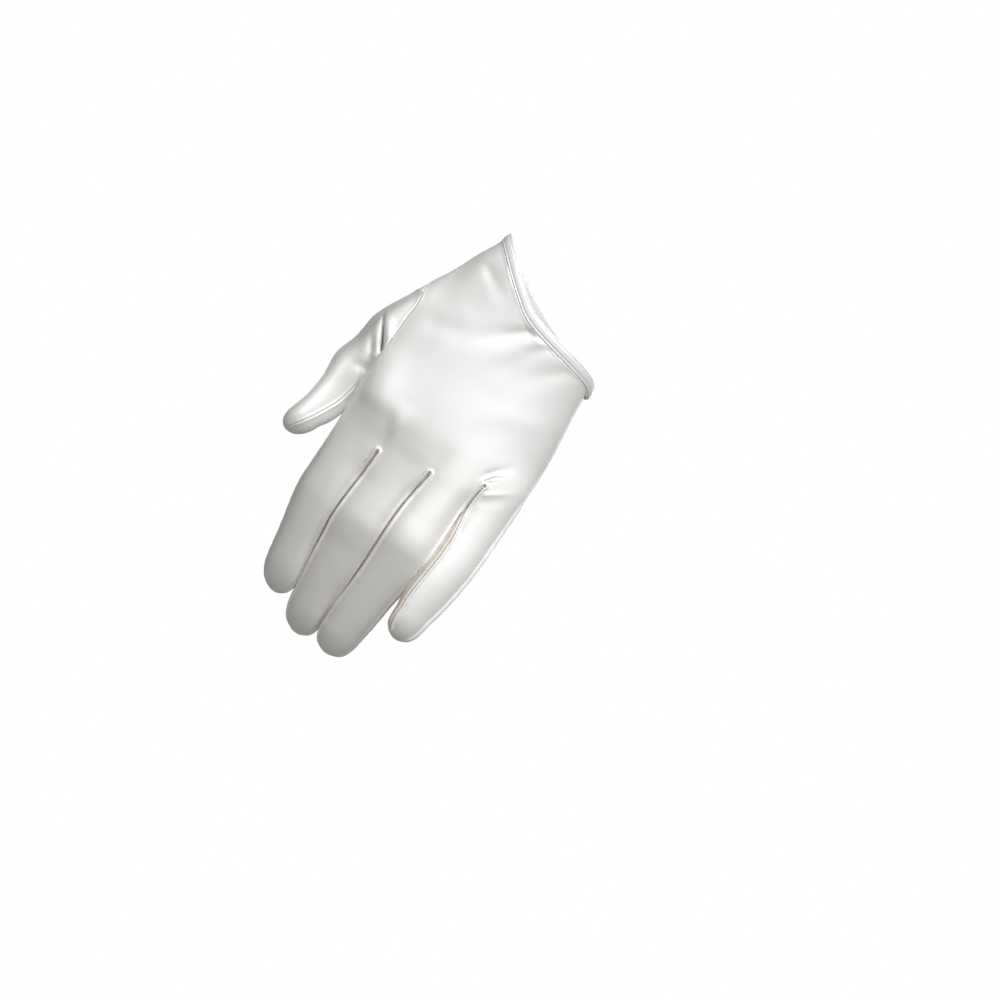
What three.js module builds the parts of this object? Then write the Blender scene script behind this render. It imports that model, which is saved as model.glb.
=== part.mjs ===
// A short satin dress glove for a left hand, in the shape that it has on the hand.
// Millimetres. +Z points up the arm, so the fingers point down. The back of the hand faces -Y,
// and the thumb is on the -X side. The origin is the middle of the wrist opening.
// Every panel is a cloth wall of its own, cut along the glove's real seams:
// back panel, palm panel, three strips between the fingers, the set-in thumb and the wrist binding.

import * as THREE from "three";

// Driving dimensions
const CLOTH = 1.0; // wall thickness
const SEAM_GAP = 0.5; // clearance between two panels at a seam
const MITRE_FLOOR = 0.25; // keeps a sharp corner's draw-in short
const FINGER_ROUND = 0.86; // power on sine and cosine: under 1 is squarer than an ellipse
const FINGER_FLAT = 0.56; // power on the sine of a finger's back, which is flatter
const TIP_POWER = 2.2; // how blunt the fingertips are
const CROTCH_RADIUS = 2.4; // how soon the two sides of a finger slit part
// How neighbouring fingers press together: how far a side swells and how soon below its seams, the
// clearance, the sway of the plane between them, and where this fades, above and below the fingertip
const SIDE_PRESS = { swell: 1.0, soon: 2.2, gap: 0.44, sway: 0.5, fade: 14, past: 4 };
const SEAM_REACH = 6; // power that keeps the pull of a slit's seam near it
// At a slit's end its seams stand up to the level of the hand's back: how high, over what length of
// the slit they fall again, and the power that keeps the rise near them
const SLIT_RISE = { height: 1.6, fall: 14, reach: 3.5 };
const BINDING = { width: 4.6, thickness: 2.2, proud: 0.1 };
const BINDING_SQUARE = { along: 0.55, across: 0.7 }; // powers: under 1 is squarer than an ellipse
// How far the binding stands out at its corner on the little finger's side, and where, in degrees
const CORNER = { out: 1.3, at: 183, width: 14 };

// How finely the surface is divided
const BLOCK_COLUMNS = 6; // across each finger, on the back and on the palm
const SIDE_COLUMNS = 2; // across a strip between fingers
const PALM_ROWS = 19; // from the binding to the finger slits
const FINGER_ROWS = 9; // from a slit to the start of the fingertip
const TIP_ROWS = 5; // round the fingertip
const BINDING_STEPS = 64;
const BINDING_SIDES = 10;
const ROW_SPREAD = 1.25; // over 1 sets a finger's rows closer near its slit
const RELAX_PASSES = 60; // over the grid round the thumb's opening

// The hand's section at heights z: left and right edges, the height of its middle in y,
// how far the back and the palm stand from there, the degrees by which the side seams move along the
// section at the thumb and at the far edge, and how far the back rises beside the thumb.
const HAND = [
  { z: 20, left: -32.0, right: 26.0, middle: 0.0, back: 18.0, palm: 17.0, seam: -8, far: 0, rise: 0.0 },
  { z: 10, left: -35.0, right: 27.5, middle: 0.3, back: 17.8, palm: 17.6, seam: -8, far: 0, rise: 0.0 },
  { z: 0, left: -39.2, right: 29.0, middle: 0.8, back: 17.6, palm: 18.4, seam: -8, far: 0, rise: 0.0 },
  { z: -10, left: -42.8, right: 31.2, middle: 1.3, back: 17.5, palm: 19.0, seam: -8, far: 0, rise: 0.0 },
  { z: -20, left: -47.2, right: 32.8, middle: 1.8, back: 17.5, palm: 19.4, seam: 2, far: -1, rise: 0.0 },
  { z: -30, left: -51.2, right: 34.2, middle: 2.0, back: 17.8, palm: 19.4, seam: 26, far: -3, rise: 0.0 },
  { z: -40, left: -51.2, right: 36.2, middle: 2.0, back: 18.1, palm: 18.8, seam: 27, far: -6, rise: 0.4 },
  { z: -50, left: -50.0, right: 38.0, middle: 1.8, back: 18.3, palm: 17.6, seam: 25, far: -10, rise: 1.4 },
  { z: -60, left: -48.5, right: 39.3, middle: 1.2, back: 18.2, palm: 16.0, seam: 21, far: -15, rise: 2.9 },
  { z: -70, left: -46.5, right: 39.9, middle: 0.2, back: 17.5, palm: 14.2, seam: 15, far: -20, rise: 4.3 },
  { z: -75, left: -45.4, right: 40.3, middle: -0.5, back: 16.6, palm: 13.3, seam: 10, far: -22, rise: 4.4 },
  { z: -80, left: -44.2, right: 40.6, middle: -1.2, back: 15.2, palm: 12.4, seam: 5, far: -24, rise: 2.8 },
  { z: -92, left: -41.9, right: 41.3, middle: -2.6, back: 11.4, palm: 10.8, seam: -6, far: -26, rise: 0.0 },
];
const HAND_FLAT = 0.72; // power that flattens the back of the hand
const SHOULDER = { fromEdge: 4, width: 12 }; // where the rise beside the thumb is highest
const HAND_LEAN = 0.04; // how much y rises across the hand
const PALM_HOLLOW = { depth: 3.2, x: -4, z: -48, width: 17, height: 24 };
// Degrees round the hand, over the back and under the palm, to the edges of each finger's share.
// The first and the last are counted from the side seams, where back and palm meet.
const SHARES = [
  { v: 0, back: 0, palm: 0 },
  { v: 1, back: 59, palm: -59 },
  { v: 2, back: 93, palm: -93 },
  { v: 3, back: 124, palm: -124 },
  { v: 4, back: 186, palm: -174 },
];

// Sections down each finger: left and right edges, middle in y and half thickness.
// The fingertip begins to round at the last section, and tip is its end. lean is how much y rises
// across the finger, which turns its back a little aside.
// seams are the angles, above the finger's own left and right edges, of the back panel's seams,
// and under the palm seams; those at the tip follow.
const FINGERS = [
  {
    name: "index",
    sections: [
      { z: -60, left: -47.0, right: -22.6, y: -6.2, half: 10.6 },
      { z: -72, left: -45.0, right: -22.4, y: -5.4, half: 10.4 },
      { z: -80, left: -43.7, right: -22.2, y: -3.3, half: 9.9 },
      { z: -91, left: -42.1, right: -21.9, y: -1.3, half: 9.3 },
      { z: -101, left: -41.2, right: -21.35, y: 0.0, half: 9.1 },
      { z: -112, left: -40.5, right: -21.3, y: 1.5, half: 9.0 },
      { z: -120, left: -39.9, right: -21.1, y: 3.0, half: 8.9 },
      { z: -128, left: -38.2, right: -20.1, y: 5.4, half: 8.7 },
      { z: -140, left: -34.8, right: -18.1, y: 9.4, half: 8.2 },
      { z: -150, left: -32.2, right: -15.8, y: 12.8, half: 7.8 },
    ],
    tip: { x: -20.8, y: 18.6, z: -165.0 },
    lean: -0.18,
    back: { left: -8, right: 27, leftTip: -8, rightTip: 4 },
    palm: { left: 8, right: 30, leftTip: 8, rightTip: 22 },
  },
  {
    name: "middle",
    sections: [
      { z: -60, left: -22.0, right: 1.4, y: -6.6, half: 10.6 },
      { z: -72, left: -21.7, right: 1.4, y: -6.6, half: 10.4 },
      { z: -80, left: -21.6, right: 1.3, y: -6.0, half: 10.0 },
      { z: -88, left: -21.4, right: 0.8, y: -4.9, half: 9.6 },
      { z: -101, left: -20.65, right: 0.15, y: -3.9, half: 9.3 },
      { z: -112, left: -20.6, right: 0.45, y: -3.3, half: 9.2 },
      { z: -119, left: -20.4, right: 1.0, y: -2.5, half: 9.2 },
      { z: -125, left: -20.0, right: 1.6, y: -0.4, half: 9.1 },
      { z: -132, left: -18.8, right: 2.2, y: 2.7, half: 8.9 },
      { z: -142, left: -17.0, right: 2.75, y: 6.8, half: 8.6 },
      { z: -152, left: -14.7, right: 3.0, y: 11.2, half: 8.3 },
      { z: -160, left: -13.0, right: 3.6, y: 14.8, half: 8.0 },
    ],
    tip: { x: -2.6, y: 21.0, z: -173.2 },
    lean: -0.05,
    back: { left: 27, right: 27, leftTip: 4, rightTip: 4 },
    palm: { left: 30, right: 30, leftTip: 22, rightTip: 22 },
  },
  {
    name: "ring",
    sections: [
      { z: -60, left: 2.2, right: 22.6, y: -6.2, half: 10.2 },
      { z: -72, left: 2.1, right: 21.9, y: -6.2, half: 10.0 },
      { z: -80, left: 2.0, right: 21.6, y: -6.1, half: 9.8 },
      { z: -88, left: 1.5, right: 21.5, y: -5.9, half: 9.5 },
      { z: -101, left: 0.8, right: 22.6, y: -6.0, half: 9.2 },
      { z: -110, left: 1.0, right: 23.1, y: -6.3, half: 9.0 },
      { z: -116, left: 1.4, right: 23.1, y: -5.4, half: 9.0 },
      { z: -122, left: 1.9, right: 23.0, y: -3.2, half: 8.9 },
      { z: -132, left: 2.85, right: 22.8, y: 0.8, half: 8.7 },
      { z: -142, left: 3.4, right: 22.5, y: 4.6, half: 8.4 },
      { z: -152, left: 3.7, right: 21.8, y: 8.4, half: 8.1 },
      { z: -160, left: 4.6, right: 21.2, y: 11.6, half: 7.7 },
    ],
    tip: { x: 12.8, y: 17.0, z: -172.0 },
    lean: 0.14,
    back: { left: 27, right: 25, leftTip: 4, rightTip: 4 },
    palm: { left: 30, right: 30, leftTip: 22, rightTip: 22 },
  },
  {
    name: "little",
    sections: [
      { z: -60, left: 23.2, right: 39.6, y: -2.2, half: 9.2 },
      { z: -72, left: 22.5, right: 40.2, y: -3.0, half: 9.0 },
      { z: -85, left: 22.1, right: 41.0, y: -2.7, half: 8.6 },
      { z: -92, left: 22.3, right: 41.4, y: -3.0, half: 8.4 },
      { z: -101, left: 23.2, right: 41.9, y: -3.8, half: 8.2 },
      { z: -110, left: 23.75, right: 42.1, y: -4.8, half: 8.0 },
      { z: -120, left: 23.8, right: 41.8, y: -5.8, half: 7.8 },
      { z: -129, left: 24.0, right: 41.0, y: -6.4, half: 7.5 },
      { z: -137, left: 25.2, right: 39.9, y: -6.6, half: 7.2 },
    ],
    tip: { x: 32.4, y: -6.0, z: -148.8 },
    lean: 0.24,
    back: { left: 44, right: 20, leftTip: 36, rightTip: 26 },
    palm: { left: 26, right: -6, leftTip: 6, rightTip: -2 },
  },
];

// Where each slit between two fingers ends, seen from the back and from the palm,
// and how far its web hangs between the two.
const SLITS = [
  { name: "index_middle", back: -90.7, palm: -94.0, web: 2.5 },
  { name: "middle_ring", back: -84.5, palm: -89.5, web: 2.5 },
  { name: "ring_little", back: -74.8, palm: -84.0, web: 2.5 },
];
const SLIT_LEVEL = 12; // how far below a slit's end its two seams lie at the same height
const OUTER_ENDS = { radial: -88, ulnar: -72 }; // where the outer fingers begin on the side seams

// The edge of the wrist opening, outside the binding: height z at each x.
const BACK_EDGE = [
  { x: -34.0, z: 16.0 },
  { x: -28.0, z: 11.2 },
  { x: -20.0, z: 4.7 },
  { x: -13.0, z: -0.5 },
  { x: -7.0, z: -4.2 },
  { x: 0.0, z: -6.3 },
  { x: 10.0, z: -8.0 },
  { x: 20.0, z: -9.3 },
  { x: 28.0, z: -10.8 },
  { x: 31.0, z: -12.4 },
  { x: 32.6, z: -16.0 },
];
const PALM_EDGE = [
  { x: -34.0, z: 16.0 },
  { x: -24.0, z: 8.0 },
  { x: 0.0, z: -2.5 },
  { x: 22.0, z: -9.5 },
  { x: 30.5, z: -13.0 },
  { x: 32.6, z: -16.0 },
];

// The thumb: an opening in the palm panel beside the side seam, and sections that fan out from it.
// Each section has its inner and outer ends, and its half thickness to the back and to the palm.
// The opening's reach is across the index finger's share, and round is the power of its half round.
const THUMB_HOLE = { top: -27.5, bottom: -77.0, reach: 0.92, round: 0.75 };
const THUMB = [
  { at: 0.0, inner: [-43.6, 4.0, -76.6], outer: [-50.2, -1.5, -31.0], back: 9.5, palm: 17.0 },
  { at: 0.14, inner: [-44.7, 7.6, -77.4], outer: [-54.0, -1.5, -37.5], back: 12.0, palm: 17.5 },
  { at: 0.27, inner: [-44.7, 8.2, -79.2], outer: [-56.0, -0.8, -45.0], back: 12.5, palm: 16.5 },
  { at: 0.4, inner: [-43.9, 7.8, -82.2], outer: [-57.0, 0.2, -57.5], back: 11.8, palm: 14.6 },
  { at: 0.52, inner: [-43.5, 7.4, -85.4], outer: [-60.0, 1.4, -68.5], back: 10.4, palm: 12.2 },
  { at: 0.64, inner: [-43.7, 7.0, -88.6], outer: [-58.8, 2.6, -80.0], back: 9.0, palm: 10.4 },
  { at: 0.76, inner: [-45.2, 6.6, -93.4], outer: [-59.2, 3.6, -90.0], back: 8.0, palm: 9.2 },
  { at: 0.87, inner: [-48.0, 6.2, -98.6], outer: [-60.9, 4.4, -98.0], back: 7.2, palm: 7.9 },
];
const THUMB_TIP = { x: -57.4, y: 7.6, z: -107.8 };
const THUMB_ROWS = 10;
const THUMB_TIP_ROWS = 5;
// Over these shares of the thumb the opening's outline becomes a round section, and its folds begin.
const THUMB_BLEND = 0.3;
const THUMB_FOLD_START = 0.12;

// Folds and dents, drawn as seen from the back of the hand: a line from one point to another,
// how far the cloth stands out at its start (a dent is negative), how wide it is there to each side,
// how much wider at its end, where it has sunk away, and how far it bows to the left, if it does.
const HAND_FOLDS = [
  { name: "pull from the opening", from: [-1, -12], to: [-30, -40], out: -1.0, width: 2.3, widening: 2.6 },
  { name: "its ridge", from: [5, -13], to: [-22, -46], out: 0.9, width: 2.9, widening: 2.6 },
  { name: "short pull beside it", from: [8, -13], to: [-8, -29], out: -0.4, width: 2.0, widening: 2.0 },
  { name: "ridge beside that", from: [15, -14], to: [-6, -36], out: 0.25, width: 3.2, widening: 2.2 },
  {
    name: "wide pull from the right",
    from: [22, -15], to: [-4, -42], out: -0.35, width: 2.8, widening: 2.2,
  },
  { name: "ridge at the right", from: [27, -17], to: [8, -42], out: 0.1, width: 2.4, widening: 2.4 },
  {
    name: "dent under the high corner",
    from: [-31, -3], to: [-12, -9], out: -0.7, width: 2.6, widening: 1.8, bow: -1,
  },
  { name: "ridge down from there", from: [-22, 0], to: [-30, -20], out: 0.5, width: 4.0, widening: 1.6 },
  {
    name: "hollow on the thumb's side",
    from: [-42, -4], to: [-42, -40], out: -2.2, width: 5.0, widening: 1.3,
  },
  { name: "slanting hollow", from: [-34, -34], to: [-6, -22], out: -0.6, width: 4.5, widening: 1.3 },
  { name: "slanting ridge", from: [20, -44], to: [-20, -64], out: 0.2, width: 5.0, widening: 1.3 },
  {
    name: "ridge over the outer knuckles",
    from: [42, -77], to: [-14, -90], out: 2.2, width: 9.0, widening: 1.0,
  },
  {
    name: "bump above the first slit",
    from: [-22.5, -80], to: [-25, -66], out: 1.5, width: 4.0, widening: 1.6,
  },
  {
    name: "dimple above the second slit",
    from: [1.4, -82], to: [2, -68], out: -0.5, width: 3.2, widening: 2.0,
  },
  {
    name: "fold above the third slit",
    from: [20.4, -75.6], to: [30.5, -66.0], out: 0.9, width: 0.8, widening: 1.2, bow: 1.9,
  },
];
const THUMB_FOLDS = [
  {
    name: "gather crease",
    from: [-46, -57.8], to: [-58, -41], out: -2.8, width: 1.0, widening: 1.3, bow: -0.6,
  },
  {
    name: "ridge on its outer side",
    from: [-48.8, -59.5], to: [-58, -46.5], out: 1.6, width: 1.5, widening: 1.3, bow: -0.6,
  },
  {
    name: "ridge on its inner side",
    from: [-46, -54], to: [-54, -41], out: 1.3, width: 1.5, widening: 1.5, bow: -0.6,
  },
  { name: "hollow beyond it", from: [-50, -60], to: [-57.5, -48], out: -1.1, width: 1.4, widening: 1.3 },
  {
    name: "dent beside the seam",
    from: [-45.5, -66.5], to: [-56, -69], out: -1.0, width: 1.7, widening: 1.8,
  },
];

const radians = THREE.MathUtils.degToRad;
const lerp = THREE.MathUtils.lerp;

// A smooth line through the rows of a table: value of a column at a key, held at both ends.
function column(rows, key, name) {
  const sorted = [...rows].sort((p, q) => p[key] - q[key]);
  const x = sorted.map((row) => row[key]);
  const y = sorted.map((row) => row[name]);
  const slope = x.map((_, i) => {
    const before = Math.max(i - 1, 0);
    const after = Math.min(i + 1, x.length - 1);
    return (y[after] - y[before]) / (x[after] - x[before]);
  });
  return (at) => {
    if (at <= x[0]) return y[0];
    if (at >= x[x.length - 1]) return y[x.length - 1];
    const i = x.findIndex((_, n) => at < x[n + 1]);
    const step = x[i + 1] - x[i];
    const t = (at - x[i]) / step;
    const rise = y[i + 1] - y[i];
    const bend = (1 - t) * (slope[i] * step - rise) + t * (rise - slope[i + 1] * step);
    return y[i] + t * rise + t * (1 - t) * bend;
  };
}

function smoothstep(t) {
  const c = Math.min(Math.max(t, 0), 1);
  return c * c * (3 - 2 * c);
}

function signedPower(value, power) {
  return Math.sign(value) * Math.abs(value) ** power;
}

const FOLD_END = 1.5; // how far a fold rounds off before its start, in widths of it

// How far the cloth stands out at x and z, for a list of folds.
function foldLift(folds, x, z) {
  let lift = 0;
  for (const fold of folds) {
    const [dx, dz] = [fold.to[0] - fold.from[0], fold.to[1] - fold.from[1]];
    const length = Math.hypot(dx, dz);
    const along = ((x - fold.from[0]) * dx + (z - fold.from[1]) * dz) / length;
    const way = Math.min(Math.max(along / length, 0), 1);
    const bow = (fold.bow || 0) * Math.sin(Math.PI * way);
    const across = ((x - fold.from[0]) * dz - (z - fold.from[1]) * dx) / length + bow;
    const wide = fold.width * lerp(1, fold.widening, way);
    const before = Math.min(along, 0) / (FOLD_END * fold.width);
    lift += fold.out * (1 - smoothstep(way)) * Math.exp(-((across / wide) ** 2) - before * before);
  }
  return lift;
}

// The palm of the hand

const hand = {};
for (const name of ["left", "right", "middle", "back", "palm", "seam", "far", "rise"])
  hand[name] = column(HAND, "z", name);

const backEdge = column(BACK_EDGE, "x", "z");
const palmEdge = column(PALM_EDGE, "x", "z");
const handX = (z, degrees) =>
  (hand.left(z) + hand.right(z)) / 2 - ((hand.right(z) - hand.left(z)) / 2) * Math.cos(radians(degrees));

// A point of the hand's surface at height z. The angle runs from 0 at the thumb side,
// over the back at 90, to 180 at the little finger's side, and is negative over the palm.
function handPoint(z, degrees) {
  const x = handX(z, degrees);
  const rise = signedPower(Math.sin(radians(degrees)), HAND_FLAT);
  const depth = rise > 0 ? hand.back(z) : hand.palm(z);
  let y = hand.middle(z) - depth * rise + HAND_LEAN * x;
  if (rise > 0) {
    const beside = (x - hand.left(z) - SHOULDER.fromEdge) / SHOULDER.width;
    const lift = foldLift(HAND_FOLDS, x, z) + hand.rise(z) * Math.exp(-beside * beside);
    y -= lift * smoothstep(2 * rise) * smoothstep((backEdge(x) - BINDING.width - z) / 3);
  }
  if (rise < 0) {
    const across = (x - PALM_HOLLOW.x) / PALM_HOLLOW.width;
    const down = (z - PALM_HOLLOW.z) / PALM_HOLLOW.height;
    y -= PALM_HOLLOW.depth * Math.exp(-across * across - down * down);
  }
  return new THREE.Vector3(x, y, z);
}

// The height of the opening's edge at an angle round the hand.
function edgeHeight(degrees) {
  const wrapped = ((((degrees + 180) % 360) + 360) % 360) - 180;
  const edge = wrapped > 0 ? backEdge : palmEdge;
  let z = 0;
  for (let i = 0; i < 30; i++) z = lerp(z, edge(handX(z, degrees)), 0.6);
  return z;
}

const shareAngle = { back: column(SHARES, "v", "back"), palm: column(SHARES, "v", "palm") };
const endOf = (side) =>
  column(
    [OUTER_ENDS.radial, ...SLITS.map((slit) => slit[side]), OUTER_ENDS.ulnar].map((z, v) => ({ v, z })),
    "v",
    "z",
  );
const slitRow = { back: endOf("back"), palm: endOf("palm") };

// The angle at v, from 0 on the thumb side to 4 at the little finger, at height z.
function angleAt(side, v, z) {
  return shareAngle[side](v) + hand.seam(z) * Math.max(1 - v, 0) + hand.far(z) * Math.max(v - 3, 0);
}

// Fingers

for (const finger of FINGERS) {
  for (const name of ["left", "right", "y", "half"]) finger[name] = column(finger.sections, "z", name);
  finger.round = Math.min(...finger.sections.map((row) => row.z));
}

// The middle and the half sizes of a finger at height z.
function fingerSection(finger, z) {
  const at = Math.max(z, finger.round);
  const section = {
    x: (finger.left(at) + finger.right(at)) / 2,
    y: finger.y(at),
    wide: (finger.right(at) - finger.left(at)) / 2,
    deep: finger.half(at),
  };
  const past = (finger.round - z) / (finger.round - finger.tip.z);
  if (past <= 0) return section;
  const shrink = Math.max(0, 1 - Math.min(past, 1) ** TIP_POWER) ** (1 / TIP_POWER);
  section.x = lerp(section.x, finger.tip.x, past);
  section.y = lerp(section.y, finger.tip.y, past);
  section.wide *= shrink;
  section.deep *= shrink;
  return section;
}

// A point of a finger: 0 degrees is its thumb side, 90 its back, 180 its little finger side.
function fingerPoint(finger, z, degrees) {
  const s = fingerSection(finger, z);
  const angle = radians(degrees);
  const rise = signedPower(Math.sin(angle), Math.sin(angle) > 0 ? FINGER_FLAT : FINGER_ROUND);
  const aside = -s.wide * signedPower(Math.cos(angle), FINGER_ROUND);
  return new THREE.Vector3(s.x + aside, s.y - s.deep * rise + finger.lean * aside, z);
}

const SEAM_TURN = 30; // how far above the fingertip the seams begin to move to their angles there

// The angles of a finger's four seams at height z.
function seamAngles(finger, z) {
  const full = finger.round + SEAM_TURN;
  const near = smoothstep((full - z) / (full - finger.tip.z));
  const { back, palm } = finger;
  return {
    backLeft: lerp(back.left, back.leftTip, near),
    backRight: 180 - lerp(back.right, back.rightTip, near),
    palmLeft: -lerp(palm.left, palm.leftTip, near),
    palmRight: -180 + lerp(palm.right, palm.rightTip, near),
  };
}

// Height of row i, from a start on the palm to the fingertip's end.
function fingerRowHeight(finger, start, i) {
  if (i <= FINGER_ROWS) return lerp(start, finger.round, (i / FINGER_ROWS) ** ROW_SPREAD);
  const turn = ((i - FINGER_ROWS) / TIP_ROWS) * (Math.PI / 2);
  return lerp(finger.round, finger.tip.z, Math.sin(turn));
}

// The angle on a finger's side at t, from 0 on the back's seam to 1 on the palm's.
function sideAngle(finger, z, side, t) {
  const seams = seamAngles(finger, z);
  if (side === "left") return lerp(seams.backLeft, seams.palmLeft, t);
  return lerp(seams.backRight, seams.palmRight + 360, t);
}

const webHeight = (slit, t) => lerp(slit.back, slit.palm, t) - slit.web * Math.sin(Math.PI * t);

// How far the seams beside a slit stand up at height z.
const slitRise = (number, z) => SLIT_RISE.height * smoothstep(1 - (SLITS[number].back - z) / SLIT_RISE.fall);

// A point in a slit: both fingers share it at the slit's end, and it parts below, more slowly in
// height than aside. Their sides swell until they stop at the plane between them, and sway, so that
// no light shows through.
function slitPoint(number, side, z, t) {
  const slit = SLITS[number];
  const [near, far] = side === "right" ? [number, number + 1] : [number + 1, number];
  const own = fingerPoint(FINGERS[near], z, sideAngle(FINGERS[near], z, side, t));
  const other = side === "right" ? "left" : "right";
  const across = fingerPoint(FINGERS[far], z, sideAngle(FINGERS[far], z, other, t));
  const below = Math.min(Math.max((webHeight(slit, t) - z) / CROTCH_RADIUS, 0), 1);
  const parted = Math.sqrt(1 - (1 - below) ** 2);
  const out = side === "right" ? 1 : -1;
  const hump = Math.sin(Math.PI * t);
  const contact = (FINGERS[number].right(z) + FINGERS[number + 1].left(z)) / 2;
  const pressed = Math.min(own.x * out + SIDE_PRESS.swell * hump, contact * out - SIDE_PRESS.gap / 2) * out;
  const tip = Math.max(FINGERS[near].round, FINGERS[far].round);
  const fade = smoothstep((z - tip + SIDE_PRESS.past) / SIDE_PRESS.fade) * parted;
  own.x = lerp(own.x, pressed, Math.min(SIDE_PRESS.soon * hump, 1) * fade);
  const level = smoothstep((webHeight(slit, t) - z) / SLIT_LEVEL);
  const point = across.clone().lerp(own, 0.5 + 0.5 * parted);
  point.y = lerp(across.y, own.y, 0.5 + 0.5 * level);
  point.x += SIDE_PRESS.sway * Math.sin(2 * Math.PI * t) * fade;
  point.y -= slitRise(number, z) * (1 - t) ** 2;
  return point;
}

// A point on the left or right seam of a finger's back or palm, at height z.
function seamPoint(k, side, face, z) {
  const number = side === "right" ? k : k - 1;
  if (number >= 0 && number < SLITS.length) return slitPoint(number, side, z, face === "back" ? 0 : 1);
  return fingerPoint(FINGERS[k], z, sideAngle(FINGERS[k], z, side, 0));
}

// A point across a finger's back or palm: s runs from its left seam to its right.
function strapPoint(k, face, z, s, leftZ, rightZ) {
  const finger = FINGERS[k];
  const angleOf = (at, side) => {
    const seams = seamAngles(finger, at);
    if (face === "back") return side === "left" ? seams.backLeft : seams.backRight;
    if (k === 0 && side === "left") return seams.backLeft;
    if (k === 3 && side === "right") return seams.backRight - 360;
    return side === "left" ? seams.palmLeft : seams.palmRight;
  };
  const left = angleOf(z, "left");
  const right = angleOf(z, "right");
  const point = fingerPoint(finger, z, lerp(left, right, s));
  const rise = (number, at, far) => {
    if (face === "palm" || number < 0 || number >= SLITS.length) return 0;
    return slitRise(number, at) * ((1 - far) ** SLIT_RISE.reach - (1 - far) ** SEAM_REACH);
  };
  point.y -= rise(k - 1, leftZ, s) + rise(k, rightZ, 1 - s);
  const leftShift = seamPoint(k, "left", face, leftZ).sub(fingerPoint(finger, leftZ, angleOf(leftZ, "left")));
  const rightShift = seamPoint(k, "right", face, rightZ).sub(
    fingerPoint(finger, rightZ, angleOf(rightZ, "right")),
  );
  return point.addScaledVector(leftShift, (1 - s) ** SEAM_REACH).addScaledVector(rightShift, s ** SEAM_REACH);
}

const panelTops = new Map();

// The height of a panel's top at v, just under the binding.
function panelTop(side, v) {
  const key = side + v.toFixed(6);
  if (!panelTops.has(key)) {
    let z = 0;
    for (let i = 0; i < 4; i++) z = edgeHeight(angleAt(side, v, z)) - BINDING.width;
    panelTops.set(key, z);
  }
  return panelTops.get(key);
}

// The palm of the hand runs into the fingers over the last part of its rows. Away from the slits
// the blend is the mean of those around the point, so that no crease runs up from a slit.
const BLEND_START = 0.64;
const BLEND_WIDTH = 0.42;
const BLEND_STEPS = [-1, -0.6, -0.2, 0.2, 0.6, 1];
const BLEND_POWER = 1.4; // over 1 keeps the blend nearer to the last row
const BLEND_EDGE = 0.3; // within this of a side seam a point follows its own finger only

// How far a point moves from the hand's section to its finger's: more towards the last row.
function blendOffset(side, v, row) {
  const height = (at) => lerp(panelTop(side, at), slitRow[side](at), row);
  const z = height(v);
  const near = smoothstep((row - BLEND_START) / (1 - BLEND_START)) ** BLEND_POWER;
  const k = Math.min(Math.floor(v), 3);
  const onFinger = strapPoint(k, side, z, v - k, height(k), height(k + 1));
  return onFinger.sub(handPoint(z, angleAt(side, v, z))).multiplyScalar(near);
}

function bodyPoint(side, v, row) {
  const z = lerp(panelTop(side, v), slitRow[side](v), row);
  const point = handPoint(z, angleAt(side, v, z));
  if (row <= BLEND_START) return point;
  const width = BLEND_WIDTH * smoothstep((1 - row) / (1 - BLEND_START));
  const mean = new THREE.Vector3();
  for (const step of BLEND_STEPS) {
    const at = Math.min(Math.max(v + step * width, 0), 4);
    mean.addScaledVector(blendOffset(side, at, row), 1 / BLEND_STEPS.length);
  }
  const inside = smoothstep(Math.min(v, 4 - v) / BLEND_EDGE);
  return point.add(blendOffset(side, v, row).lerp(mean, inside));
}

// The thumb

const thumb = {};
for (const name of ["back", "palm"]) thumb[name] = column(THUMB, "at", name);
for (const end of ["inner", "outer"])
  for (const [axis, letter] of ["x", "y", "z"].entries())
    thumb[end + letter] = column(
      THUMB.map((row) => ({ at: row.at, value: row[end][axis] })),
      "at",
      "value",
    );
const THUMB_ROUND = THUMB[THUMB.length - 1].at;
const TOWARDS_PALM = new THREE.Vector3(-0.33, 0.94, 0.09);
const TOWARDS_BACK = new THREE.Vector3(0.1, -0.99, -0.05);

// A point of the thumb: at runs from its opening to its tip, and turn from its outer end at 0,
// over its back at 90, to its inner end at 180 and its palm side at 270 degrees.
function thumbPoint(at, turn) {
  const base = Math.min(at, THUMB_ROUND);
  const inner = new THREE.Vector3(thumb.innerx(base), thumb.innery(base), thumb.innerz(base));
  const outer = new THREE.Vector3(thumb.outerx(base), thumb.outery(base), thumb.outerz(base));
  const centre = inner.clone().lerp(outer, 0.5);
  const half = outer.clone().sub(inner).multiplyScalar(0.5);
  const angle = radians(turn);
  const rise = signedPower(Math.sin(angle), Math.sin(angle) > 0 ? FINGER_FLAT : FINGER_ROUND);
  const [towards, depth] = rise > 0 ? [TOWARDS_BACK, thumb.back(base)] : [TOWARDS_PALM, thumb.palm(base)];
  const past = Math.max(0, (at - THUMB_ROUND) / (1 - THUMB_ROUND));
  const shrink = Math.max(0, 1 - past ** TIP_POWER) ** (1 / TIP_POWER);
  centre.lerp(new THREE.Vector3(THUMB_TIP.x, THUMB_TIP.y, THUMB_TIP.z), past);
  return centre
    .addScaledVector(half, signedPower(Math.cos(angle), FINGER_ROUND) * shrink)
    .addScaledVector(towards, depth * Math.abs(rise) * shrink);
}

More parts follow.
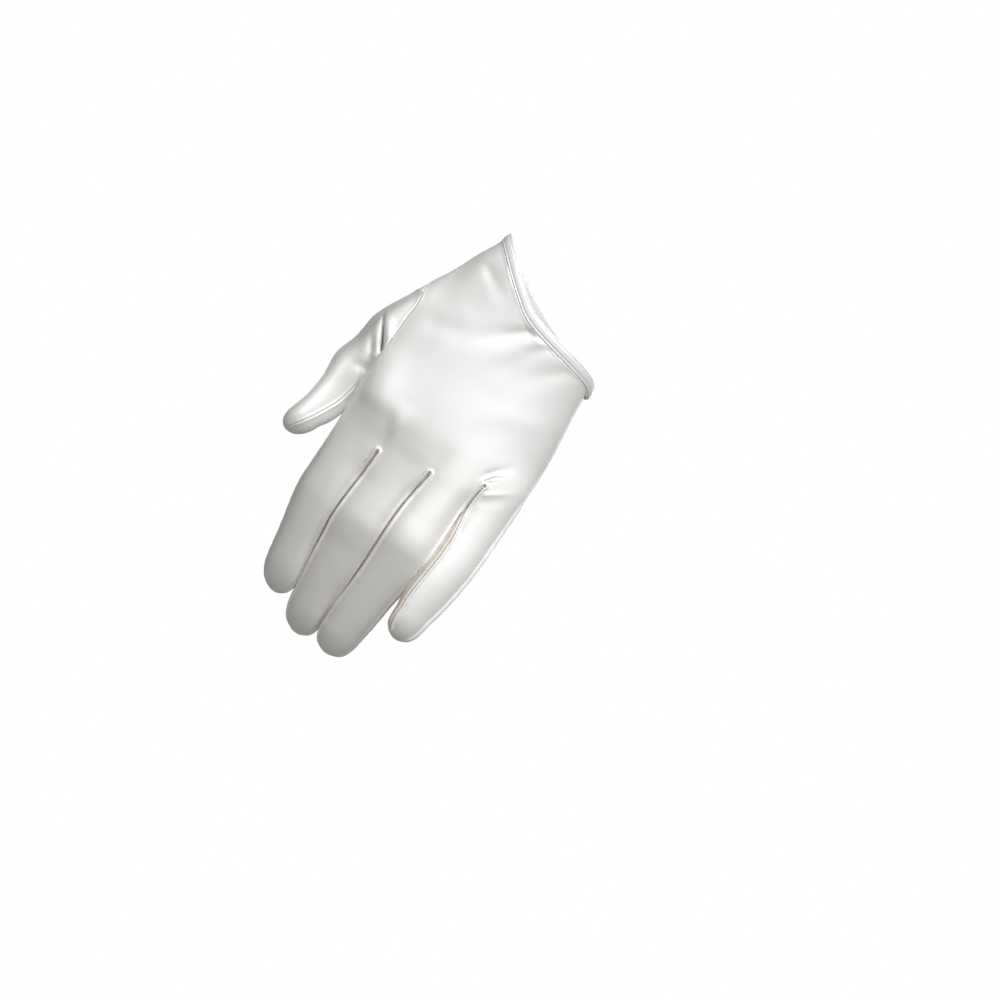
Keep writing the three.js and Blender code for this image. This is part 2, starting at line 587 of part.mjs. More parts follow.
// A surface is a list of triangles between points, each with the name of its panel.
class Surface {
  constructor() {
    this.points = [];
    this.faces = [];
    this.index = new Map();
  }

  // The number of a point; points at the same place share one.
  add(point) {
    const key = point
      .toArray()
      .map((value) => Math.round(value * 2000))
      .join(" ");
    if (!this.index.has(key)) this.index.set(key, this.points.push(point.clone()) - 1);
    return this.index.get(key);
  }

  triangle(panel, a, b, c) {
    if (a !== b && b !== c && c !== a) this.faces.push({ panel, corners: [a, b, c] });
  }

  // A grid of points; owner names the panel of each cell, or null where there is an opening.
  grid(rows, owner, flip = false) {
    const numbers = rows.map((row) => row.map((point) => this.add(point)));
    for (let i = 0; i + 1 < rows.length; i++)
      for (let j = 0; j + 1 < rows[i].length; j++) {
        const panel = owner(i, j);
        if (!panel) continue;
        const [a, b] = [numbers[i][j], numbers[i][j + 1]];
        const [c, d] = [numbers[i + 1][j], numbers[i + 1][j + 1]];
        const turned = flip ? [a, c, b, d] : [a, b, c, d];
        this.triangle(panel, turned[0], turned[2], turned[1]);
        this.triangle(panel, turned[1], turned[2], turned[3]);
      }
    return numbers;
  }

  normals() {
    const sum = this.points.map(() => new THREE.Vector3());
    for (const { corners } of this.faces) {
      const [a, b, c] = corners.map((n) => this.points[n]);
      const turn = b.clone().sub(a).cross(c.clone().sub(a));
      for (const n of corners) sum[n].add(turn);
    }
    return sum.map((v) => v.normalize());
  }
}

const steps = (count) => Array.from({ length: count + 1 }, (_, i) => i);
const glove = new Surface();

// Rows and columns of one side of the hand, the thumb's opening left out of the palm.
const HOLE_COLUMNS = BLOCK_COLUMNS - 1;

function bodyRows(side) {
  return steps(PALM_ROWS).map((i) =>
    steps(4 * BLOCK_COLUMNS).map((j) => ({ v: j / BLOCK_COLUMNS, row: i / PALM_ROWS })),
  );
}

// The rows that the thumb's opening spans, from the heights on the side seam.
function holeRows() {
  const heights = steps(PALM_ROWS).map((i) => bodyPoint("back", 0, i / PALM_ROWS).z);
  const nearest = (z) => {
    const away = heights.map((height) => Math.abs(height - z));
    return away.indexOf(Math.min(...away));
  };
  return { first: nearest(THUMB_HOLE.top), last: nearest(THUMB_HOLE.bottom) };
}

// The opening's palm side is a half round; the grid around it is relaxed to follow.
function roundedPalm(rows, hole) {
  const middle = (hole.first + hole.last) / 2;
  const tall = (hole.last - hole.first) / 2;
  const inHole = (i, j) => i >= hole.first && i <= hole.last && j <= HOLE_COLUMNS;
  const onRim = (i, j) => inHole(i, j) && (i === hole.first || i === hole.last || j === HOLE_COLUMNS);
  for (let i = hole.first; i <= hole.last; i++)
    for (let j = 0; j <= HOLE_COLUMNS; j++) {
      if (!onRim(i, j)) continue;
      const side = Math.atan2(j / HOLE_COLUMNS, Math.abs(i - middle) / tall);
      const out = Math.sin(side) ** THUMB_HOLE.round;
      const along = Math.cos(side) ** THUMB_HOLE.round * Math.sign(i - middle || 1);
      rows[i][j].v = THUMB_HOLE.reach * out;
      rows[i][j].row = (middle + tall * (i === middle ? 0 : along)) / PALM_ROWS;
    }
  for (let pass = 0; pass < RELAX_PASSES; pass++)
    for (let i = 1; i < PALM_ROWS; i++)
      for (let j = 1; j < 4 * BLOCK_COLUMNS; j++) {
        if (inHole(i, j) || j > 2 * BLOCK_COLUMNS) continue;
        const around = [rows[i - 1][j], rows[i + 1][j], rows[i][j - 1], rows[i][j + 1]];
        for (const name of ["v", "row"])
          rows[i][j][name] = around.reduce((sum, cell) => sum + cell[name], 0) / 4;
      }
  return rows;
}

const hole = holeRows();
const places = (side, rows) => rows.map((row) => row.map((cell) => bodyPoint(side, cell.v, cell.row)));
const backPlaces = places("back", bodyRows("back"));
const palmPlaces = places("palm", roundedPalm(bodyRows("palm"), hole));
glove.grid(backPlaces, () => "back_panel");
glove.grid(
  palmPlaces,
  (i, j) => (i >= hole.first && i < hole.last && j < HOLE_COLUMNS ? null : "palm_panel"),
  true,
);

// Fingers: a back and a palm strap each, and the strips between them.
const LAST_ROW = FINGER_ROWS + TIP_ROWS;
const STRIP_END = LAST_ROW - 2;

for (const [k, finger] of FINGERS.entries()) {
  for (const face of ["back", "palm"]) {
    const startAt = (s) => slitRow[face](k + s);
    const rows = steps(LAST_ROW).map((i) =>
      steps(BLOCK_COLUMNS).map((j) => {
        const s = j / BLOCK_COLUMNS;
        const height = (at) => fingerRowHeight(finger, startAt(at), i);
        return strapPoint(k, face, height(s), s, height(0), height(1));
      }),
    );
    glove.grid(rows, () => face + "_panel", face === "palm");
  }
  for (const side of ["left", "right"]) {
    const number = side === "right" ? k : k - 1;
    if (number < 0 || number >= SLITS.length) continue;
    const rows = steps(LAST_ROW).map((i) =>
      steps(SIDE_COLUMNS).map((j) => {
        const t = j / SIDE_COLUMNS;
        return slitPoint(number, side, fingerRowHeight(finger, webHeight(SLITS[number], t), i), t);
      }),
    );
    const owner = (i, j) => {
      if (i < STRIP_END) return "strip_" + SLITS[number].name;
      return j < SIDE_COLUMNS / 2 ? "back_panel" : "palm_panel";
    };
    glove.grid(rows, owner, side === "left");
  }
}

// The thumb starts on the rim of its opening, read round from the top of the side seam:
// down the seam, and back up the palm.
function thumbRim() {
  const rim = [];
  for (let i = hole.first; i < hole.last; i++) rim.push({ place: backPlaces[i][0] });
  for (let j = 0; j < HOLE_COLUMNS; j++) rim.push({ place: palmPlaces[hole.last][j] });
  for (let i = hole.last; i > hole.first; i--) rim.push({ place: palmPlaces[i][HOLE_COLUMNS] });
  for (let j = HOLE_COLUMNS; j > 0; j--) rim.push({ place: palmPlaces[hole.first][j] });
  const down = hole.last - hole.first;
  rim.forEach((cell, n) => {
    cell.turn = n < down ? (180 * n) / down : 180 + (180 * (n - down)) / (rim.length - down);
  });
  rim.push({ place: rim[0].place, turn: 360 });
  return rim;
}

const rim = thumbRim();
const thumbRows = steps(THUMB_ROWS + THUMB_TIP_ROWS).map((i) => {
  const tipTurn = ((i - THUMB_ROWS) / THUMB_TIP_ROWS) * (Math.PI / 2);
  const at = i <= THUMB_ROWS ? (THUMB_ROUND * i) / THUMB_ROWS : lerp(THUMB_ROUND, 1, Math.sin(tipTurn));
  const near = smoothstep(at / THUMB_BLEND);
  return rim.map((cell) => {
    const point = cell.place.clone().lerp(thumbPoint(at, cell.turn), near);
    const facing = smoothstep(2 * Math.sin(radians(cell.turn))) * smoothstep(at / THUMB_FOLD_START);
    return point.addScaledVector(TOWARDS_BACK, facing * foldLift(THUMB_FOLDS, point.x, point.z));
  });
});
glove.grid(thumbRows, () => "thumb");

// Cloth: a panel's faces, the same faces one wall further in, and walls along its free edges.
// The edges are drawn in by half of the seam's clearance.
function cloth(panel, normals) {
  const faces = glove.faces.filter((face) => face.panel === panel).map((face) => face.corners);
  const edges = new Map();
  for (const [a, b, c] of faces)
    for (const [p, q] of [
      [a, b],
      [b, c],
      [c, a],
    ])
      edges.set(p + "," + q, [p, q]);
  const free = [...edges.values()].filter(([p, q]) => !edges.has(q + "," + p));
  // For each point of a free edge, the directions that lead square away from its two edges.
  const square = new Map();
  for (const [p, q] of free) {
    const edge = glove.points[q].clone().sub(glove.points[p]);
    for (const n of [p, q])
      square.set(n, [...(square.get(n) || []), normals[n].clone().cross(edge).normalize()]);
  }
  const used = [...new Set(faces.flat())];
  const number = new Map(used.map((n, i) => [n, i]));
  const outer = used.map((n) => {
    const point = glove.points[n].clone();
    if (!square.has(n)) return point;
    const [one, two] = square.get(n);
    const mitre = one.clone().add(two).multiplyScalar(1 / Math.max(1 + one.dot(two), MITRE_FLOOR));
    return point.addScaledVector(mitre, SEAM_GAP / 2);
  });
  const inner = used.map((n, i) => outer[i].clone().addScaledVector(normals[n], -CLOTH));
  const count = used.length;
  const index = [];
  for (const corners of faces) {
    const [a, b, c] = corners.map((n) => number.get(n));
    index.push(a, b, c, a + count, c + count, b + count);
  }
  for (const [p, q] of free) {
    const [a, b] = [number.get(p), number.get(q)];
    index.push(b, a, a + count, b, a + count, b + count);
  }
  const positions = [...outer, ...inner].flatMap((point) => point.toArray());
  return new THREE.BufferGeometry()
    .setAttribute("position", new THREE.Float32BufferAttribute(positions, 3))
    .setIndex(index);
}

// The binding: a soft flat band round the opening, level with the cloth that it is sewn to.
function binding() {
  const rings = steps(BINDING_STEPS - 1).map((n) => {
    const degrees = (360 * n) / BINDING_STEPS;
    const edge = edgeHeight(degrees);
    const at = (z, turn = degrees) => handPoint(z, turn);
    const low = at(edge - BINDING.width);
    const up = at(edge).sub(low).normalize();
    const round = at(edgeHeight(degrees + 1), degrees + 1).sub(at(edgeHeight(degrees - 1), degrees - 1));
    const out = round.cross(up).normalize();
    const corner = CORNER.out * Math.exp(-(((degrees - CORNER.at) / CORNER.width) ** 2));
    const middle = low
      .addScaledVector(up, BINDING.width / 2)
      .addScaledVector(out, corner + BINDING.proud - CLOTH / 2);
    return steps(BINDING_SIDES - 1).map((m) => {
      const angle = (2 * Math.PI * m) / BINDING_SIDES;
      const along = signedPower(Math.cos(angle), BINDING_SQUARE.along) * (BINDING.width - SEAM_GAP);
      const across = signedPower(Math.sin(angle), BINDING_SQUARE.across) * BINDING.thickness;
      return middle
        .clone()
        .addScaledVector(up, along / 2)
        .addScaledVector(out, across / 2);
    });
  });
  const index = [];
  for (let n = 0; n < BINDING_STEPS; n++)
    for (let m = 0; m < BINDING_SIDES; m++) {
      const a = n * BINDING_SIDES + m;
      const b = n * BINDING_SIDES + ((m + 1) % BINDING_SIDES);
      const c = ((n + 1) % BINDING_STEPS) * BINDING_SIDES + m;
      const d = ((n + 1) % BINDING_STEPS) * BINDING_SIDES + ((m + 1) % BINDING_SIDES);
      index.push(a, b, c, b, d, c);
    }
  const positions = rings.flat().flatMap((point) => point.toArray());
  return new THREE.BufferGeometry()
    .setAttribute("position", new THREE.Float32BufferAttribute(positions, 3))
    .setIndex(index);
}

const satin = () => new THREE.MeshStandardMaterial({ color: 0xeeebe6, roughness: 0.38, metalness: 0 });

const group = new THREE.Group();
const normals = glove.normals();
for (const panel of new Set(glove.faces.map((face) => face.panel))) {
  const mesh = new THREE.Mesh(cloth(panel, normals), satin());
  mesh.name = panel;
  group.add(mesh);
}
const band = new THREE.Mesh(binding(), satin());
band.name = "wrist_binding";
group.add(band);

export default group;
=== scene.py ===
"""A short satin dress glove for a left hand, in the shape that it has on the hand.

The tables are in millimetres, in the CAD frame: the fingers point to -Z, the back of the hand faces -Y
and the thumb is on the -X side. Every panel is a grid of points worked out with numpy, cut along the
glove's real seams, and given the thickness of the cloth.
"""

import bpy
import numpy as np
from mathutils import Matrix, Vector


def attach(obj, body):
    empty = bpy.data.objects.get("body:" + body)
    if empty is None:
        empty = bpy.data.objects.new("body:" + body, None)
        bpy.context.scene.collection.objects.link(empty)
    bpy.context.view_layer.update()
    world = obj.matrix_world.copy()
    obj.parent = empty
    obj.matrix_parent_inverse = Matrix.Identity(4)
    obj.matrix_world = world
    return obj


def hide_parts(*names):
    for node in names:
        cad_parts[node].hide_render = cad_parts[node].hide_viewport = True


MM = 0.001
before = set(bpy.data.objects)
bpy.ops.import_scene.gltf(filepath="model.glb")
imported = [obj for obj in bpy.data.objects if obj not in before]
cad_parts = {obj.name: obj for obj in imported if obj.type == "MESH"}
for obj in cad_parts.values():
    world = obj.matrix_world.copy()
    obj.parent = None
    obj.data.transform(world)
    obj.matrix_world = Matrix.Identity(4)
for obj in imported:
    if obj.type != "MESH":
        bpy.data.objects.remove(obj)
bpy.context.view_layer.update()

# The cloth

CLOTH = 1.0
SEAM_GAP = 0.16
MITRE_FLOOR = 0.25  # keeps a panel's sharp corner from being drawn in too far
FINGER_ROUND = 0.86  # power on sine and cosine: under 1 is squarer than an ellipse
FINGER_FLAT = 0.56  # the power on the sine of a finger's back, which is flatter
TIP_POWER = 2.2
CROTCH_RADIUS = 2.4
# The sides of neighbouring fingers press together: how far they swell, the gap left, their sway, which
# keeps light from showing through, how soon across the strip they meet, how far past the start of the
# fingertip they still touch, and the length over which they part
SIDE_PRESS = {"swell": 1.0, "gap": 0.2, "sway": 0.5, "soon": 2.2, "past": 4.0, "fade": 14.0}
SEAM_REACH = 9  # power that keeps the pull of a slit's seam near it
SEAM_TURN = 30.0  # how far above the fingertip its seams begin to turn to their places on the tip
LIP_REACH = 0.16  # how far down its strip a slit's lip reaches
LIP_RELEASE = 22.0  # the length over which a lip lets go

# The band round the opening: its size, how far it stands proud, and how far it laps over the cloth. Then
# how much further it stands at the hand's far corner, its profile's powers, its thinning towards the sewn
# edge, its stitch lines (how high up, how deep), and its wrinkles (height, length and seed)
BINDING = {"width": 4.6, "thickness": 2.2, "proud": 0.25, "lap": 0.9, "sides": 72}
BINDING_CORNER = {"proud": 1.3, "at": 183, "width": 14}
BINDING_SQUARE = {"high": 0.62, "thick": 0.5}
BINDING_TAPER = {"depth": 0.7, "slope": 3, "start": 1.9}
STITCHES = ((-1.2, 0.3), (1.3, 0.16))
STITCH_WIDTH = 0.3
WRINKLES = ((0.04, 2.1, 11), (0.08, 7.0, 12))

# How finely the surface is divided
BLOCK_COLUMNS = 40
SIDE_COLUMNS = 16
PALM_ROWS = 160
FINGER_ROWS = 110
TIP_ROWS = 26
STRIP_END = 0.6  # how far down the fingertip's rows a strip reaches
THUMB_ROWS = 150
THUMB_TIP_ROWS = 20
BINDING_STEPS = 420
SPREAD = {"columns": 0.55, "rows": 0.35, "fingers": 1.25}  # how unevenly: finer near the seams
RELAX_PASSES = 900
WELD_STEPS = 200  # to a millimetre

# The cloth's own coordinates: a finger's share, a strip's width, and the thumb's girth to a degree
SHARE_WIDTH = 21.0
STRIP_WIDTH = 18.0
THUMB_GIRTH = 0.17
BINDING_CLOTH = {"along": 0.5, "across": 0.3}  # a step of the binding's grid

# The hand's section at heights z
HAND = {
    "z": (20, 10, 0, -10, -20, -30, -40, -50, -60, -70, -75, -80, -92),
    "left": (-32.0, -35.0, -39.2, -42.8, -47.2, -51.2, -51.2, -50.0, -48.5, -46.5, -45.4, -44.2, -41.9),
    "right": (26.0, 27.5, 29.0, 31.2, 32.8, 34.2, 36.2, 38.0, 39.3, 39.9, 40.3, 40.6, 41.3),
    "middle": (0.0, 0.3, 0.8, 1.3, 1.8, 2.0, 2.0, 1.8, 1.2, 0.2, -0.5, -1.2, -2.6),
    "back": (18.0, 17.8, 17.6, 17.5, 17.5, 17.8, 18.1, 18.3, 18.2, 17.5, 16.6, 15.2, 11.4),
    "palm": (17.0, 17.6, 18.4, 19.0, 19.4, 19.4, 18.8, 17.6, 16.0, 14.2, 13.3, 12.4, 10.8),
    "seam": (-8, -8, -8, -8, 2, 26, 27, 25, 21, 15, 10, 5, -6),
    "far_seam": (0, 0, 0, 0, -1, -3, -6, -10, -15, -20, -22, -24, -26),
    "shoulder": (0, 0, 0, 0, 0, 0, 0.4, 1.4, 2.9, 4.3, 4.4, 2.8, 0),
}
SHOULDER = {"from_edge": 4.0, "width": 12.0}  # where the shoulder beside the thumb is highest
HAND_FLAT = 0.72
HAND_LEAN = 0.04  # how much y rises across the hand
PALM_HOLLOW = {"depth": 3.2, "x": -4, "z": -48, "width": 17, "height": 24}
SHARES = {"v": (0, 1, 2, 3, 4), "back": (0, 59, 93, 124, 186), "palm": (0, -59, -93, -124, -174)}

# Sections down each finger at heights z: its left and right edges, y of the middle and half thickness.
# Then its tip, how much y rises across it, and the angles of its seams on the back and on the palm:
# left and right ones, and both at the tip
FINGERS = (
    {
        "z": (-60, -72, -80, -91, -101, -112, -120, -128, -140, -150),
        "left": (-47.0, -45.0, -43.7, -42.1, -41.2, -40.5, -39.9, -38.2, -34.8, -32.2),
        "right": (-22.6, -22.4, -22.2, -21.9, -21.35, -21.3, -21.1, -20.1, -18.1, -15.8),
        "y": (-6.2, -5.4, -3.3, -1.3, 0.0, 1.5, 3.0, 5.4, 9.4, 12.8),
        "half": (10.6, 10.4, 9.9, 9.3, 9.1, 9.0, 8.9, 8.7, 8.2, 7.8),
        "tip": (-20.8, 18.6, -165.0),
        "lean": -0.18,
        "back": (-8, 27, -8, 4),
        "palm": (8, 30, 8, 22),
    },
    {
        "z": (-60, -72, -80, -88, -101, -112, -119, -125, -132, -142, -152, -160),
        "left": (-22.0, -21.7, -21.6, -21.4, -20.65, -20.6, -20.4, -20.0, -18.8, -17.0, -14.7, -13.0),
        "right": (1.4, 1.4, 1.3, 0.8, 0.15, 0.45, 1.0, 1.6, 2.2, 2.75, 3.0, 3.6),
        "y": (-6.6, -6.6, -6.0, -4.9, -3.9, -3.3, -2.5, -0.4, 2.7, 6.8, 11.2, 14.8),
        "half": (10.6, 10.4, 10.0, 9.6, 9.3, 9.2, 9.2, 9.1, 8.9, 8.6, 8.3, 8.0),
        "tip": (-2.6, 21.0, -173.2),
        "lean": -0.05,
        "back": (27, 27, 4, 4),
        "palm": (30, 30, 22, 22),
    },
    {
        "z": (-60, -72, -80, -88, -101, -110, -116, -122, -132, -142, -152, -160),
        "left": (2.2, 2.1, 2.0, 1.5, 0.8, 1.0, 1.4, 1.9, 2.85, 3.4, 3.7, 4.6),
        "right": (22.6, 21.9, 21.6, 21.5, 22.6, 23.1, 23.1, 23.0, 22.8, 22.5, 21.8, 21.2),
        "y": (-6.2, -6.2, -6.1, -5.9, -6.0, -6.3, -5.4, -3.2, 0.8, 4.6, 8.4, 11.6),
        "half": (10.2, 10.0, 9.8, 9.5, 9.2, 9.0, 9.0, 8.9, 8.7, 8.4, 8.1, 7.7),
        "tip": (12.8, 17.0, -172.0),
        "lean": 0.14,
        "back": (27, 25, 4, 4),
        "palm": (30, 30, 22, 22),
    },
    {
        "z": (-60, -72, -85, -92, -101, -110, -120, -129, -137),
        "left": (23.2, 22.5, 22.1, 22.3, 23.2, 23.75, 23.8, 24.0, 25.2),
        "right": (39.6, 40.2, 41.0, 41.4, 41.9, 42.1, 41.8, 41.0, 39.9),
        "y": (-2.2, -3.0, -2.7, -3.0, -3.8, -4.8, -5.8, -6.4, -6.6),
        "half": (9.2, 9.0, 8.6, 8.4, 8.2, 8.0, 7.8, 7.5, 7.2),
        "tip": (32.4, -6.0, -148.8),
        "lean": 0.24,
        "back": (44, 20, 36, 26),
        "palm": (26, -6, 6, -2),
    },
)
BLEND_START = 0.64  # the share of the palm's height where the fingers begin to show
BLEND_WIDTH = 0.42
BLEND_POWER = 1.4
BLEND_STEPS = (-1, -0.6, -0.2, 0.2, 0.6, 1)  # where the mean is taken, in widths
SIDE_FADE = 0.3  # how far from the hand's side seams the mean and the slit's folds fade, in shares
# Where each slit ends on the back and on the palm, and how far its web hangs between them. Its edges
# are lips that nearly meet over the strip: the gap left, and the height at which the lip on the right
# lets go, which may be past the fingertip
SLITS = (
    {"name": "index_middle", "back": -90.7, "palm": -94.0, "web": 2.5, "lips": 0.9, "loose": -200},
    {"name": "middle_ring", "back": -84.5, "palm": -89.5, "web": 2.5, "lips": 0.9, "loose": -200},
    {"name": "ring_little", "back": -74.8, "palm": -84.0, "web": 2.5, "lips": 0.5, "loose": -92},
)
OUTER_ENDS = (-88, -72)
SLIT_LEVEL = 12.0  # how far below a slit's end its two seams lie at the same height
# At a slit's end the seams stand up to the level of the hand's back: how high, over what length of
# the slit they fall again, and the power that keeps the rise near the seam
SLIT_RISE = {"height": 2.5, "fall": 14.0, "reach": 5}

# The edge of the wrist opening: height z at each x
BACK_EDGE = {
    "x": (-34.0, -28.0, -20.0, -13.0, -7.0, 0.0, 10.0, 20.0, 28.0, 31.0, 32.6),
    "z": (16.0, 11.2, 4.7, -0.5, -4.2, -6.3, -8.0, -9.3, -10.8, -12.4, -16.0),
}
PALM_EDGE = {"x": (-34.0, -24.0, 0.0, 22.0, 30.5, 32.6), "z": (16.0, 8.0, -2.5, -9.5, -13.0, -16.0)}

# The thumb's opening, and its sections: inner end, outer end, half thickness to the back and the palm
THUMB_HOLE = {"top": -27.5, "bottom": -77.0, "reach": 0.92, "columns": 0.83, "round": 0.75}
THUMB = {
    "at": (0.0, 0.14, 0.27, 0.4, 0.52, 0.64, 0.76, 0.87),
    "inner_x": (-43.6, -44.7, -44.7, -43.9, -43.5, -43.7, -45.2, -48.0),
    "inner_y": (4.0, 7.6, 8.2, 7.8, 7.4, 7.0, 6.6, 6.2),
    "inner_z": (-76.6, -77.4, -79.2, -82.2, -85.4, -88.6, -93.4, -98.6),
    "outer_x": (-50.2, -54.0, -56.0, -57.0, -60.0, -58.8, -59.2, -60.9),
    "outer_y": (-1.5, -1.5, -0.8, 0.2, 1.4, 2.6, 3.6, 4.4),
    "outer_z": (-31.0, -37.5, -45.0, -57.5, -68.5, -80.0, -90.0, -98.0),
    "back": (9.5, 12.0, 12.5, 11.8, 10.4, 9.0, 8.0, 7.2),
    "palm": (17.0, 17.5, 16.5, 14.6, 12.2, 10.4, 9.2, 7.9),
}
THUMB_TIP = (-57.4, 7.6, -107.8)
THUMB_BLEND = 0.3
THUMB_LEVEL = 0.7  # how level the thumb's rows start along its seam with the back of the hand
# The ways that the thumb's palm side and its back face
TOWARDS_PALM = np.array((-0.33, 0.94, 0.09))
TOWARDS_BACK = np.array((0.1, -0.99, -0.05))

FOLD_END = 1.5  # how many half widths before its start a fold ends
FOLD_RAMP = 3.0  # the length below the binding over which the hand's folds begin
SLIT_FOLD_REACH = 4  # power that keeps the slit's folds near the strip's back seam
THUMB_FOLD_START = 0.12  # the share of the thumb's length over which its folds begin
# Folds and dents seen from the back: from x, z to x, z, how far out at the start, half width there,
# how much wider they are at their end, where they have sunk away, and how far they bow to the left
HAND_FOLDS = (
    (-1, -12, -30, -40, -1.0, 2.3, 2.6, 0),
    (5, -13, -22, -46, 0.9, 2.9, 2.6, 0),
    (8, -13, -8, -29, -0.4, 2.0, 2.0, 0),
    (15, -14, -6, -36, 0.25, 3.2, 2.2, 0),
    (22, -15, -4, -42, -0.35, 2.8, 2.2, 0),
    (27, -17, 8, -42, 0.1, 2.4, 2.4, 0),
    (-31, -3, -12, -9, -0.7, 2.6, 1.8, -1),
    (-22, 0, -30, -20, 0.5, 4.0, 1.6, 0),
    (-42, -4, -42, -40, -2.2, 5.0, 1.3, 0),
    (-34, -34, -6, -22, -0.6, 4.5, 1.3, 0),
    (20, -44, -20, -64, 0.2, 5.0, 1.3, 0),
    (42, -77, -14, -90, 2.2, 9.0, 1.0, 0),
    (-22.5, -80, -25, -66, 1.5, 4.0, 1.6, 0),
    (1.4, -82, 2, -68, -0.5, 3.2, 2.0, 0),
)
# Folds round the end of the third slit, on the hand and the fingers alike
SLIT_FOLDS = (
    (21.8, -73.2, 28.8, -66.6, -0.52, 0.45, 1.3, 1.0),
    (20.9, -74.0, 28.2, -65.2, 0.36, 0.85, 1.3, 1.3),
    (22.9, -73.4, 27.6, -69.4, -0.34, 0.42, 1.2, 0.3),
    (25.6, -77.6, 39.5, -65.8, 0.34, 0.95, 1.6, 0),
    (27.4, -80.6, 39.5, -69.5, -0.24, 1.9, 1.4, 0),
    (21.2, -70.0, 30.5, -59.5, -0.5, 1.5, 1.4, 0.6),
)
THUMB_FOLDS = (
    (-46, -57.0, -57, -42, -3.0, 0.55, 1.2, -0.3),
    (-57, -42, -46, -57.0, -1.9, 0.6, 1.0, 0.3),
    (-47.5, -60.0, -58, -45.0, 1.3, 1.5, 1.2, -0.3),
    (-45.5, -53.5, -55, -40.5, 1.1, 1.5, 1.3, -0.3),
    (-50, -58.5, -56.5, -49, -0.9, 1.6, 1.3, 0),
    (-45.5, -66.5, -56, -69, -1.0, 1.7, 1.8, 0),
)
# Painted shade: how dark the bottom of the thumb's crease is painted
THUMB_CREASE_SHADE = (
    (-46, -57.0, -57, -42, 1.0, 0.5, 1.0, -0.3),
    (-57, -42, -46, -57.0, 0.8, 0.5, 1.0, 0.3),
)
# The seam down the thumb's side, seen from the back, the length over which it begins, and its strength
THUMB_SEAM = {
    "x": (-45.4, -46.3, -47.4, -49.6, -52.2, -55.4, -59.0),
    "z": (-70.0, -78.6, -85.0, -90.7, -96.4, -102.1, -107.6),
    "top": -72,
    "over": 6,
    "strength": 0.5,
}

# A seam seen in section: the cloth's edge is turned in, and stands in a soft roll beside it
SEAM = {"sink": 0.6, "sink_width": 0.24, "roll": 0.85, "roll_at": 0.78, "roll_width": 0.52}
# How strong the section is: faint on the hand, full past a height, and none at the tips of the fingers
SEAM_STRENGTH = {"faint": 0.15, "top": -68, "over": 8, "tip": 2.4, "tip_over": 6}
# Puckers beside the seams, which start a little way from them, and slow waves with finer ones on them
PUCKER = {"height": 0.13, "reach": 2.6, "spacing": 2.3, "start": 1.2, "seed": 3}
WAVES = ((0.16, 17.0, 5), (0.064, 17.0 / 2.3, 6))


# Curves and waves


def smooth_line(keys, values):
    """A smooth line through points.

    Each piece is a cubic whose slope at a point is that of the chord between its two neighbours.
    Beyond both ends the line stays level.
    """
    order = np.argsort(keys)
    x, y = np.array(keys, float)[order], np.array(values, float)[order]
    before, after = np.maximum(np.arange(len(x)) - 1, 0), np.minimum(np.arange(len(x)) + 1, len(x) - 1)
    slope = (y[after] - y[before]) / (x[after] - x[before])

    def line(at):
        at = np.clip(at, x[0], x[-1])
        i = np.clip(np.searchsorted(x, at, "right") - 1, 0, len(x) - 2)
        step, rise = x[i + 1] - x[i], y[i + 1] - y[i]
        t = (at - x[i]) / step
        bend = (1 - t) * (slope[i] * step - rise) + t * (rise - slope[i + 1] * step)
        return y[i] + t * rise + t * (1 - t) * bend

    return line


def lerp(a, b, t):
    """A value on the way from a to b: a plus t times their difference."""
    return a + (b - a) * t


def smoothstep(t):
    """Rises from 0 to 1 as three t squared minus two t cubed, and is level beyond."""
    t = np.clip(t, 0, 1)
    return t * t * (3 - 2 * t)


def bell(t):
    """A bell curve: 1 at 0, and one over e at 1 and -1."""
    return np.exp(-(t**2))


def signed_power(value, power):
    """The value's size raised to a power, with its sign kept."""
    return np.sign(value) * np.abs(value) ** power


def unit(vectors):
    """The vectors at length 1; one that is nothing stays nothing."""
    return vectors / np.maximum(np.linalg.norm(vectors, axis=-1, keepdims=True), 1e-9)


def noise(points, size, seed):
    """Smooth random waves between -1 and 1.

    Random numbers sit at the corners of cubes of the given size, and a point takes their mean,
    each corner weighted by the smooth step of the point's place in its cube.
    """
    table = np.random.default_rng(seed).uniform(-1, 1, 4096)
    cell = np.floor(points / size).astype(int)
    t = smoothstep(points / size - cell)
    total = 0
    for corner in np.ndindex(2, 2, 2):
        place = cell + np.array(corner)
        number = (place @ np.array((73, 1571, 929))) % 4096
        weight = np.where(np.array(corner) == 1, t, 1 - t).prod(-1)
        total = total + weight * table[number]
    return total


def fold_lift(folds, x, z):
    """How far the folds stand out.

    Each is a bell curve across its line, which widens and sinks evenly from its start to its end,
    and a second bell curve that ends it before its start.
    """
    lift = 0
    for x0, z0, x1, z1, out, width, widening, bow in folds:
        length = np.hypot(x1 - x0, z1 - z0)
        ux, uz = (x1 - x0) / length, (z1 - z0) / length
        along = (x - x0) * ux + (z - z0) * uz
        across = (x - x0) * uz - (z - z0) * ux
        way = np.clip(along / length, 0, 1)
        across = across + bow * np.sin(np.pi * way)
        wide = width * lerp(1, widening, way)
        start = bell(np.minimum(along, 0) / width / FOLD_END)
        lift = lift + out * (1 - smoothstep(way)) * start * bell(across / wide)
    return lift


def seam_roll(far):
    """The roll beside a seam at a distance from it: a bell curve, 1 on its ridge."""
    return bell((far - SEAM["roll_at"]) / SEAM["roll_width"])


def seam_section(far):
    """A seam's section at a distance from it: a bell curve sinks, and its roll stands beside it."""
    return SEAM["roll"] * seam_roll(far) - SEAM["sink"] * bell(far / SEAM["sink_width"])


# The palm of the hand

